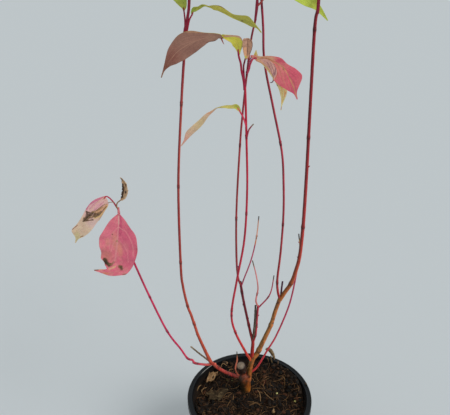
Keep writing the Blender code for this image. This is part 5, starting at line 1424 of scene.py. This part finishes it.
class DOGWOOD_OT_crumbs(bpy.types.Operator):
    """Strew the compost with crumbs, chips, fibres, roots and fertiliser grains"""

    bl_idname = "dogwood.crumbs"
    bl_label = "Crumbs and fibres"

    def execute(self, context):
        settings = context.scene.dogwood_pot
        draw = np.random.default_rng(SEED)
        edge = wall_radius(SOIL) - WALL - 1.5
        knobs, sides = ball(1)
        round_knobs, round_sides = ball(2)

        def strew(count):
            turn, out = draw.uniform(0, math.tau, count), edge * np.sqrt(draw.uniform(0, 1, count))
            clear = np.hypot(out * np.cos(turn) - TRUNK_FOOT[0], out * np.sin(turn) - TRUNK_FOOT[1]) > 8
            return (out * np.cos(turn))[clear], (out * np.sin(turn))[clear]

        def lumps(centres, sizes, stretch, looks):
            shapes = []
            for centre, size, look in zip(centres, sizes, looks):
                axes = np.linalg.qr(draw.normal(size=(3, 3)))[0]
                scale = size * draw.uniform(1 - stretch, 1, 3)
                body = knobs * (1 + draw.uniform(-0.25, 0.25, (len(knobs), 1))) * scale
                body = inside_wall(body @ axes.T * [1, 1, 0.8] + centre)
                shapes.append(Shape(body, sides, look=int(look)))
            return shapes

        odds = np.array([share for _, share in CRUMB_COLOURS], float)
        x, y = strew(settings.crumbs)
        sizes = draw.uniform(0.5, 1.0, len(x)) ** 2 * 1.9 + draw.exponential(0.25, len(x))
        looks = draw.choice(len(odds), len(x), p=odds / odds.sum())
        centres = np.stack([x, y, soil_height(x, y) + 0.25 * sizes], axis=1)
        crumbs = lumps(centres, sizes, 0.5, looks)
        x, y = strew(200)
        sizes = draw.uniform(1.4, 3.2, len(x))
        centres = np.stack([x, y, soil_height(x, y) + 0.8], axis=1)
        crumbs += lumps(centres, sizes, 0.85, draw.choice([2, 3, 4, 5], len(x), p=[0.4, 0.3, 0.1, 0.2]))
        x, y = strew(settings.clods)
        for at_x, at_y, high in zip(x, y, soil_height(x, y)):
            size = draw.uniform(1.6, 4.2)
            body = round_knobs * (size * draw.uniform(0.6, 1.0, 3) * [1, 1, 0.8])
            body = body * (1 + 0.45 * noise_at(body + draw.uniform(0, 50, 3), size * 0.55)[:, None])
            look = int(draw.choice([0, 1, 2, 3, 5], p=[0.3, 0.34, 0.2, 0.06, 0.1]))
            crumbs.append(Shape(inside_wall(body + (at_x, at_y, high + 0.2 * size)), round_sides, look=look))
        made = [speck_material(f"crumb_{i}", seen(*colour)) for i, (colour, _) in enumerate(CRUMB_COLOURS)]
        new_piece("compost_crumbs", joined(crumbs), made)

        fibres = []
        x, y = strew(settings.fibres)
        for i, (at_x, at_y) in enumerate(zip(x, y)):
            long = draw.uniform(5, 20)
            turn = draw.uniform(0, math.tau)
            bend = draw.uniform(-0.5, 0.5)
            shares = np.linspace(-0.5, 0.5, 5)
            px = at_x + long * (shares * math.cos(turn) - bend * shares ** 2 * 2 * math.sin(turn))
            py = at_y + long * (shares * math.sin(turn) + bend * shares ** 2 * 2 * math.cos(turn))
            out = np.hypot(px, py)
            if out.max() > edge:
                continue
            lift = draw.uniform(0.2, 1.4) * (1 - (2 * shares) ** 2) * long / 7
            pz = smooth_soil(px, py) + lift + draw.uniform(0.4, 2.0)
            thick = np.full(5, draw.uniform(0.3, 0.5) + draw.exponential(0.18))
            look = int(draw.choice(4, p=[0.34, 0.3, 0.16, 0.2]))
            fibres.append(tube(np.stack([px, py, pz, thick], axis=1), 4, long / 9, look=look))
        made = [speck_material(f"fibre_{i}", seen(*colour)) for i, colour in enumerate(FIBRE_COLOURS)]
        new_piece("compost_fibres", joined(fibres), made)

        things, colours = [], []
        for points, thick, colour in ROOTS:
            rows = [(*point, thick * share) for point, share in zip(points, (1, 1.05, 0.6))]
            things.append(tube(rows, 8, 1.2, relief=0.25, look=len(colours)))
            colours.append(colour)
        for x, y, wide, colour in GRAINS:
            centre = (x, y, float(soil_height(x, y)) + 0.42 * wide)
            things += lumps([centre], [wide * 0.54], 0.1, [len(colours)])
            colours.append(colour)
        for x, y, high, wide, deep, tall, colour in CHUNKS:
            on_rim = math.hypot(x, y) > edge + 4
            base = SOIL if on_rim else float(soil_height(x, y))
            for _ in range(3):
                shift = draw.uniform(-0.35, 0.35, 3) * (wide, deep, tall)
                body = knobs * (1 + draw.uniform(-0.25, 0.25, (len(knobs), 1))) * (wide, deep, tall)
                body = body * 0.8 + shift + (x, y, base + high)
                things.append(Shape(body if on_rim else inside_wall(body), sides, look=len(colours)))
            colours.append(colour)
        made = [speck_material(f"root_{i}", seen(*colour)) for i, colour in enumerate(colours)]
        new_piece("compost_roots", joined(things), made)
        return {"FINISHED"}


class DOGWOOD_OT_dry_leaves(bpy.types.Operator):
    """Build the dead leaves on the compost and over the rim"""

    bl_idname = "dogwood.dry_leaves"
    bl_label = "Dead leaves"

    def execute(self, context):
        around, outward = 150, 18
        for name, (outline, middle, (line, ridge), colours) in DRY_LEAVES.items():
            middle = np.array(middle)
            corners = np.array(outline) - middle
            turns = np.unwrap(np.arctan2(corners[:, 1], corners[:, 0]))
            if turns[-1] < turns[0]:
                turns, corners = turns[::-1], corners[::-1]
            angle = np.linspace(0, math.tau, around, endpoint=False)
            spokes = []
            for towards in angle:
                ray = np.array([math.cos(towards), math.sin(towards)])
                hits = []
                for a, b in zip(corners, np.roll(corners, -1, axis=0)):
                    span = b - a
                    cross = ray[0] * span[1] - ray[1] * span[0]
                    if abs(cross) < 1e-9:
                        continue
                    far = (a[0] * span[1] - a[1] * span[0]) / cross
                    share = (a[0] * ray[1] - a[1] * ray[0]) / cross
                    if far > 0 and -1e-6 <= share <= 1 + 1e-6:
                        hits.append(far)
                spokes.append(max(hits))
            spokes = np.array(spokes)
            margin = np.stack([spokes * np.cos(angle), spokes * np.sin(angle), angle * 0], axis=1)
            spokes = spokes * (1 + 0.07 * noise_at(margin, 1.6))
            share = np.linspace(0.02, 1, outward)[:, None]
            x = middle[0] + share * spokes * np.cos(angle)
            y = middle[1] + share * spokes * np.sin(angle)
            turn = math.radians(line)
            off = (x - middle[0]) * math.sin(turn) - (y - middle[1]) * math.cos(turn)
            flat = np.stack([x, y, np.zeros_like(x)], axis=-1).reshape(-1, 3)
            crumple = noise_at(flat, 7.0, 2.0).reshape(x.shape) * 2.0
            crumple += noise_at(flat, 2.6, 5.0).reshape(x.shape) * 0.8
            fold = ridge * np.exp(-np.abs(off) / 5.0) - ridge * 0.3
            edge_curl = share ** 3 * 1.6 * (1 + noise_at(flat, 9.0, 8.0).reshape(x.shape))
            z = smooth_soil(x, y) + 2.2 + fold + crumple * 0.8 + edge_curl
            points = np.stack([x, y, z], axis=-1).reshape(-1, 3)
            faces = grid_faces(outward, around, closed=True)[:, ::-1].tolist() + [tuple(range(around))]
            leaf = new_piece(name.replace("dry", "dead"), Shape(points, faces),
                             [dry_material(name, colours)], [name])
            apply_modifier(leaf, "SOLIDIFY", thickness=0.4 * MM, offset=0.0)
        # the rim leaf's colours: middle, painted highlight of the ridges, painted shade of the hollows and
        # rotten spots
        colours = ((112, 92, 66), (140, 116, 88), (66, 50, 36))
        points, _ = fine_blade(RIM_LEAF, (0.0, -0.6, 0.8), 60, 18, (-20, -0.3, 0.7, 4, 3.4, 8), jag=0.3)
        leaf = new_piece("rim_dead_leaf", Shape(points, grid_faces(61, 19)[:, ::-1]),
                         [dry_material("rim_dry_leaf", colours)], ["rim_dry_leaf"])
        apply_modifier(leaf, "SOLIDIFY", thickness=0.5 * MM, offset=0.0)
        return {"FINISHED"}


def smooth_soil(x, y):
    """The compost's height without its smallest lumps, as a thing that lies across them meets it."""
    reach = 3.0
    steps = ((reach, 0), (-reach, 0), (0, reach), (0, -reach))
    return sum(soil_height(x + dx, y + dy) for dx, dy in steps) / 4


class DOGWOOD_OT_old_wood(bpy.types.Operator):
    """Build the trunk with the boughs that leave it and the pruned stump, grown together"""

    bl_idname = "dogwood.old_wood"
    bl_label = "Trunk and old wood"

    def execute(self, context):
        shapes = {name: tube(LIMBS[name][0], 32, 1.2, LIMBS[name][1]) for name in OLD_TINTS_AND_SIDE_SHADE}
        knots = [bud((-6, 17.5, 153.5), unit_of(np.array([0.1, -0.6, 0.8])), 4.4, (200, 90, 80), 0.7),
                 bud((12, 18.6, 188), unit_of(np.array([0.2, -0.5, 0.8])), 3.2, (60, 30, 24), 0.6),
                 bud((-47, 10.8, 172), unit_of(np.array([-0.2, -0.7, 0.7])), 3.4, (120, 90, 70), 0.8),
                 bud((-28, 16.8, 149.4), unit_of(np.array([0.2, -0.6, 0.7])), 3.0, (80, 30, 26), 0.9)]
        burls = [([-9, 20, 139], 5.4), ([-2, 19, 143], 4.6), ([-12, 22, 147], 5), ([1, 21, 148], 4.4)]
        lumps = [tube([(*at, size * 0.6), (at[0], at[1], at[2] + size * 0.4, size),
                       (at[0], at[1], at[2] + size * 0.9, size * 0.7)], 16, 1.0) for at, size in burls]
        wood = new_piece("old_wood", joined([*shapes.values(), *knots, *lumps]),
                         [old_bark_material()], list(OLD_TINTS_AND_SIDE_SHADE))
        apply_modifier(wood, "REMESH", mode="VOXEL", voxel_size=0.42 * MM)
        apply_modifier(wood, "SMOOTH", iterations=6, factor=0.5)
        mesh = wood.data
        count = len(mesh.vertices)
        points, out = np.empty(count * 3), np.empty(count * 3)
        mesh.vertices.foreach_get("co", points)
        mesh.vertices.foreach_get("normal", out)
        points, out = points.reshape(-1, 3) / MM, out.reshape(-1, 3)
        drawn = points * [1, 1, 0.45]
        relief = 0.26 * noise_at(drawn, 2.4) + 0.14 * noise_at(drawn, 1.0, 3.0)
        young = np.clip(np.linalg.norm(points - [-5, 22, 142], axis=1) / 22, 0.0, 1.0)
        relief *= 1 - 0.7 * young
        colours = np.zeros((count, 3))
        total = np.zeros((count, 1))
        for name, stops in OLD_TINTS_AND_SIDE_SHADE.items():
            path = smooth_path(LIMBS[name][0])
            gaps = np.linalg.norm(points[:, None] - path[None, ::4, :3], axis=2) - path[None, ::4, 3] / 2
            nearest = gaps.argmin(axis=1)
            share = nearest * 4 / (len(path) - 1)
            weight = np.exp(-np.clip(gaps.min(axis=1), -1, 30) * 1.4)[:, None]
            colours += side_tints(share, out, stops) * weight
            total += weight
        colours /= total
        patches = np.clip(0.5 + noise_at(points, 4.0, 5.0), 0, 1)[:, None]
        colours *= 0.72 + 0.5 * patches
        # the marks, among them painted shade low on the trunk's front left
        for x, y, z, radius, colour in OLD_MARKS_AND_SHADE:
            away = np.linalg.norm(points - [x, y, z], axis=1) / radius + 0.3 * noise_at(points, 1.5)
            share = np.clip(1.4 - away, 0, 1)[:, None] * 0.85
            colours = colours * (1 - share) + np.array(seen(*colour)) * share
        top = np.array([-11.7, 17.4, 166.6])
        axis = unit_of(np.array([-2.2, -4.1, 10.6]))
        off = points - top
        along = off @ axis
        from_axis = np.linalg.norm(off - along[:, None] * axis, axis=1) + 0.3 * noise_at(points, 2.0)
        cut = (along > -1.2) & (from_axis < 6.6)
        face = np.clip((along + 0.5) / 0.8, 0, 1) * (from_axis < 6.6)
        ring = 0.86 + 0.14 * np.cos(from_axis * math.tau / 1.1)
        disc = np.array(seen(134, 118, 98)) * (1.1 - 0.06 * from_axis)[:, None] * ring[:, None]
        disc = np.where(from_axis[:, None] > 5.1, np.array(seen(70, 54, 44)), disc)
        heart = np.exp(-(from_axis / 0.8) ** 2)[:, None]
        disc = disc * (1 - heart * 0.5)
        colours = colours * (1 - face[:, None]) + disc * face[:, None]
        relief = np.where(cut & (along > 0.4), relief * 0.3, relief)
        points += out * relief[:, None]
        mesh.vertices.foreach_set("co", (points * MM).ravel())
        mesh.update()
        paint_points(wood, "tint", colours)
        mesh.shade_smooth()
        return {"FINISHED"}


class DOGWOOD_OT_stems(bpy.types.Operator):
    """Build the stems with their nodes, buds and bark, and the dead snags"""

    bl_idname = "dogwood.stems"
    bl_label = "Stems"

    def execute(self, context):
        settings = context.scene.dogwood_plant
        bark, dead = bark_material(), dead_material()
        for name, stops in STEM_TINTS_AND_SIDE_SHADE.items():
            bends, rings = LIMBS[name]
            snag = "snag" in name
            bends = wider(bends)
            stem = tube(bends, settings.sides, settings.step / MM, rings, relief=0.16 if snag else 0.05)
            stem.tint = side_tints(stem.share, stem.out, stops) * np.array(settings.bark_tint)
            blotch = 1 + 0.22 * noise_at(stem.points * [1, 1, 0.35], 3.0)[:, None]
            stem.tint *= blotch
            for height in rings:
                scar = np.exp(-((stem.points[:, 2] - height + 1.0) / 0.8) ** 2)
                stem.tint *= 1 - 0.72 * scar[:, None]
                swell = np.exp(-((stem.points[:, 2] - height - 0.6) / 1.8) ** 2)
                stem.tint *= 1 - 0.28 * swell[:, None]
            dark = tuple(int(value * 0.7) for value in stops[len(stops) // 2][1])
            shapes = [stem, *node_buds(bends, rings, dark)]
            path = smooth_path(bends)
            for limb, height, bearing, long, colour in SINGLE_BUDS:
                if limb == name:
                    at = path[int(np.argmin(np.abs(path[:, 2] - height)))]
                    out = unit(bearing, 0)
                    root = at[:3] + out * at[3] * 0.36
                    shapes.append(bud(root, unit_of(out * 0.6 + UP * 0.8), long, colour))
            new_piece(name + "_bark", joined(shapes),
                      [dead if snag else bark], [name])
        return {"FINISHED"}


class DOGWOOD_OT_leaves(bpy.types.Operator):
    """Build the leaves that show in the photograph's view"""

    bl_idname = "dogwood.leaves"
    bl_label = "Leaves"

    def execute(self, context):
        thick = context.scene.dogwood_plant.blade
        for name, (depth, upper, mottle, under, vein, strength, *marks) in LEAF_LOOKS.items():
            small = name in ("dry_curl", "short", "yellow_bit")
            rows, columns = (60, 30) if small else (130, 52)
            jag = 0.34 if name == "dry_curl" else 0.0
            points, share = fine_blade(LEAVES[name], FRONT, rows, columns, BENDS[name], FLAPS.get(name), jag)
            shape = Shape(points, grid_faces(rows + 1, columns + 1)[:, ::-1])
            sides = []
            x, z = as_seen(points, depth)
            for body, second, marked, edge in ((upper, mottle, marks[0], 1.06),
                                               (under, under, marks[1], 0.94)):
                broad = 1 + 0.1 * noise_at(points, 9.0)[:, None]
                part = np.clip(0.35 + 1.1 * noise_at(points, 2.4, 6.0) + 0.5 * noise_at(points, 6.0), 0, 1)
                part = part[:, None] * 0.8
                colours = (np.array(seen(*body)) * (1 - part) + np.array(seen(*second)) * part) * broad
                margin = np.clip((np.abs(share) - 0.9) / 0.1, 0, 1)[:, None]
                colours = colours * (1 + (edge - 1) * margin)
                ragged = 0.32 * noise_at(points, 3.0, 4.0) + 0.16 * noise_at(points, 1.2, 9.0)
                for mark in marked:
                    if len(mark) == 5:
                        away = np.hypot((x - mark[0]) / mark[2], (z - mark[1]) / mark[3]) + ragged
                        soft = 0.14 + 0.1 * min(mark[2], mark[3])
                    else:
                        away = from_line(x, z, mark[0]) / mark[1] + ragged
                        soft = 0.3
                    part = np.clip((1 + soft - away) / (2 * soft), 0, 1)[:, None]
                    colours = colours * (1 - part) + np.array(seen(*mark[-1])) * part
                sides.append(colours)
            shape.tint = sides[0]
            made = [leaf_material(f"{name}_{side}", side, seen(*vein), strength, *BENDS[name][4:6])
                    for side in ("tint", "under")]
            leaf = new_piece(name + "_leaf", shape, made)
            paint_points(leaf, "under", sides[1])
            layout = leaf.data.uv_layers.new(name="blade")
            grid = np.stack(np.broadcast_arrays(np.linspace(0, 1, columns + 1)[None, :],
                                                np.linspace(0, 1, rows + 1)[:, None]), axis=-1).reshape(-1, 2)
            corners = np.array([i for face in shape.faces for i in face])
            layout.data.foreach_set("uv", grid[corners].ravel())
            apply_modifier(leaf, "SOLIDIFY", thickness=thick, offset=0.0, material_offset=1)
        return {"FINISHED"}


class DOGWOOD_OT_crowns(bpy.types.Operator):
    """Build the twigs of each mass and the leaves that grow by the rule"""

    bl_idname = "dogwood.crowns"
    bl_label = "Twigs and crowns"

    def execute(self, context):
        thick = context.scene.dogwood_plant.blade
        space = space_at_start()
        twig_paints = [speck_material(f"twig_{i}", seen(*colour), 0.45)
                       for i, colour in enumerate(TWIG_PALETTE)]
        leaf_paints = [speck_material(f"crown_{i}", seen(*colour), 0.55)
                       for i, colour in enumerate(CROWN_COLOURS)]
        for name, (bough, twigs, shown, heights, bearing) in MASSES.items():
            near = [np.vstack([space[name], space[bough]])]
            foreign = np.vstack([points for owner, points in space.items() if owner not in (name, bough)])
            draw = random.Random(name + str(SEED))
            petioles, blades = grow_leaves(twigs[0], heights, bearing, draw, near, foreign)
            space[name] = near[0]
            shapes = [tube(wider(rows), 12, 1.4, relief=0.05, look=look)
                      for rows, look in zip(twigs, TWIG_LOOKS[name])]
            shapes += [tube(rows, 8, 0.7, look=look) for mass, rows, look in CURLS if mass == name]
            shapes += [tube(rows, 8, 1.6, look=PETIOLE_LOOK) for rows in petioles]
            path = smooth_path(twigs[0])
            for order, height in enumerate(heights):
                at = path[int(np.argmin(np.abs(path[:, 2] - height)))]
                ring = [(at[0], at[1], at[2] + off, at[3] * wide)
                        for off, wide in ((-2.4, 1), (-0.8, 1.3), (0.8, 1.36), (2.4, 1))]
                shapes.append(tube(ring, 12, 0.8, look=TWIG_LOOKS[name][0]))
                for side in (0, 180):
                    out = unit(bearing + PAIR_TURN * order + side, 0)
                    root = at[:3] + out * at[3] * 0.4 + UP * 1.5
                    shapes.append(bud(root, unit_of(UP + out * 0.3), 3.6, (0, 0, 0), 0.34, BUD_LOOK))
            if heights:
                shapes.append(bud(path[-1, :3] - UP, UP, 5.0, (0, 0, 0), 0.4, BUD_LOOK))
            new_piece(name + "_twigs", joined(shapes), twig_paints, [name])
            if blades:
                leaves = []
                pick = random.Random("tints" + name)
                for rows in blades:
                    leaves += crown_leaf(rows, pick)
                piece = new_piece(name + "_blades", joined(leaves),
                                  leaf_paints[:5] + [leaf_paints[5]] * 4 + [leaf_paints[4]])
                apply_modifier(piece, "SOLIDIFY", thickness=thick, offset=0.0, material_offset=5)
        return {"FINISHED"}


def crown_leaf(rows, pick):
    """A leaf of the crowns as shapes: its blade in two or three plain colours, and its veins."""
    count, columns = 34, 15
    bend = (pick.uniform(6, 16), pick.uniform(-0.12, 0.08), pick.uniform(0.6, 1.4), pick.uniform(2.5, 4.5),
            2.6, 7)
    points, _ = fine_blade(rows, UP, count, columns, bend)
    blade = Shape(points, grid_faces(count + 1, columns + 1)[:, ::-1])
    body = pick.choice((0, 0, 1, 1, 2))
    flush = pick.uniform(0.2, 1.0)
    for i in range(len(blade.faces)):
        row, column = divmod(i, columns)
        from_edge = min(column, columns - 1 - column)
        late = flush * (row / count) ** 1.5 + pick.uniform(-0.12, 0.12)
        blade.looks[i] = 3 if late > 0.45 + 0.18 * from_edge else body
        if column == columns // 2:
            blade.looks[i] = 4
    return [blade]


class DOGWOOD_OT_stage(bpy.types.Operator):
    """Make the floor, the light and the camera"""

    bl_idname = "dogwood.stage"
    bl_label = "Stage"

    def execute(self, context):
        settings = context.scene.dogwood_stage
        bpy.ops.object.select_all(action="DESELECT")
        bpy.ops.mesh.primitive_plane_add(size=60.0, location=(0, 0, -0.0005))
        floor = context.active_object
        floor.name = "floor"
        paint = Paint("pale_floor")
        floor.data.materials.append(paint.finish(tuple(settings.floor_colour), 0.95,
                                                 Specular_IOR_Level=0.0))
        world = bpy.data.worlds.new("studio")
        context.scene.world = world
        world.use_nodes = True
        world.node_tree.nodes["Background"].inputs["Color"].default_value = (*settings.sky_colour, 1.0)
        bpy.ops.object.light_add(type="SUN", location=(1.2, -0.7, 1.5))
        lamp = context.active_object
        lamp.name = "key"
        lamp.data.energy = settings.sun
        lamp.data.angle = math.radians(28)
        lamp.rotation_euler = Vector((-0.6, 0.35, -0.72)).to_track_quat("-Z", "Y").to_euler()
        bpy.ops.object.camera_add(location=CAMERA * MM,
                                  rotation=(math.radians(63.4), 0, math.radians(0.051)))
        camera = context.active_object
        camera.data.lens = 44.8
        camera.data.sensor_width = 36
        camera.data.clip_start = 0.01
        context.scene.camera = camera
        context.scene.view_settings.view_transform = "Standard"
        return {"FINISHED"}


class DOGWOOD_PT_panel(bpy.types.Panel):
    """The pieces of the potted dogwood"""

    bl_label = "Dogwood"
    bl_idname = "DOGWOOD_PT_panel"
    bl_space_type = "VIEW_3D"
    bl_region_type = "UI"
    bl_category = "Dogwood"

    def draw(self, context):
        for step in STEPS:
            self.layout.operator(step.bl_idname)
        for group in GROUPS:
            settings = getattr(context.scene, group)
            for name in settings.__annotations__:
                self.layout.prop(settings, name)


STEPS = (DOGWOOD_OT_pot, DOGWOOD_OT_compost, DOGWOOD_OT_crumbs, DOGWOOD_OT_dry_leaves, DOGWOOD_OT_old_wood,
         DOGWOOD_OT_stems, DOGWOOD_OT_leaves, DOGWOOD_OT_crowns, DOGWOOD_OT_stage)
GROUPS = {"dogwood_pot": PotSettings, "dogwood_plant": PlantSettings, "dogwood_stage": StageSettings}


def register():
    for kind in (*GROUPS.values(), *STEPS, DOGWOOD_PT_panel):
        bpy.utils.register_class(kind)
    for name, kind in GROUPS.items():
        setattr(bpy.types.Scene, name, PointerProperty(type=kind))


def unregister():
    for name in GROUPS:
        delattr(bpy.types.Scene, name)
    for kind in (DOGWOOD_PT_panel, *reversed(STEPS), *GROUPS.values()):
        bpy.utils.unregister_class(kind)


def main():
    register()
    bpy.ops.dogwood.pot()
    bpy.ops.dogwood.compost()
    bpy.ops.dogwood.crumbs()
    bpy.ops.dogwood.dry_leaves()
    bpy.ops.dogwood.old_wood()
    bpy.ops.dogwood.stems()
    bpy.ops.dogwood.leaves()
    bpy.ops.dogwood.crowns()
    bpy.ops.dogwood.stage()


if __name__ == "__main__":
    main()
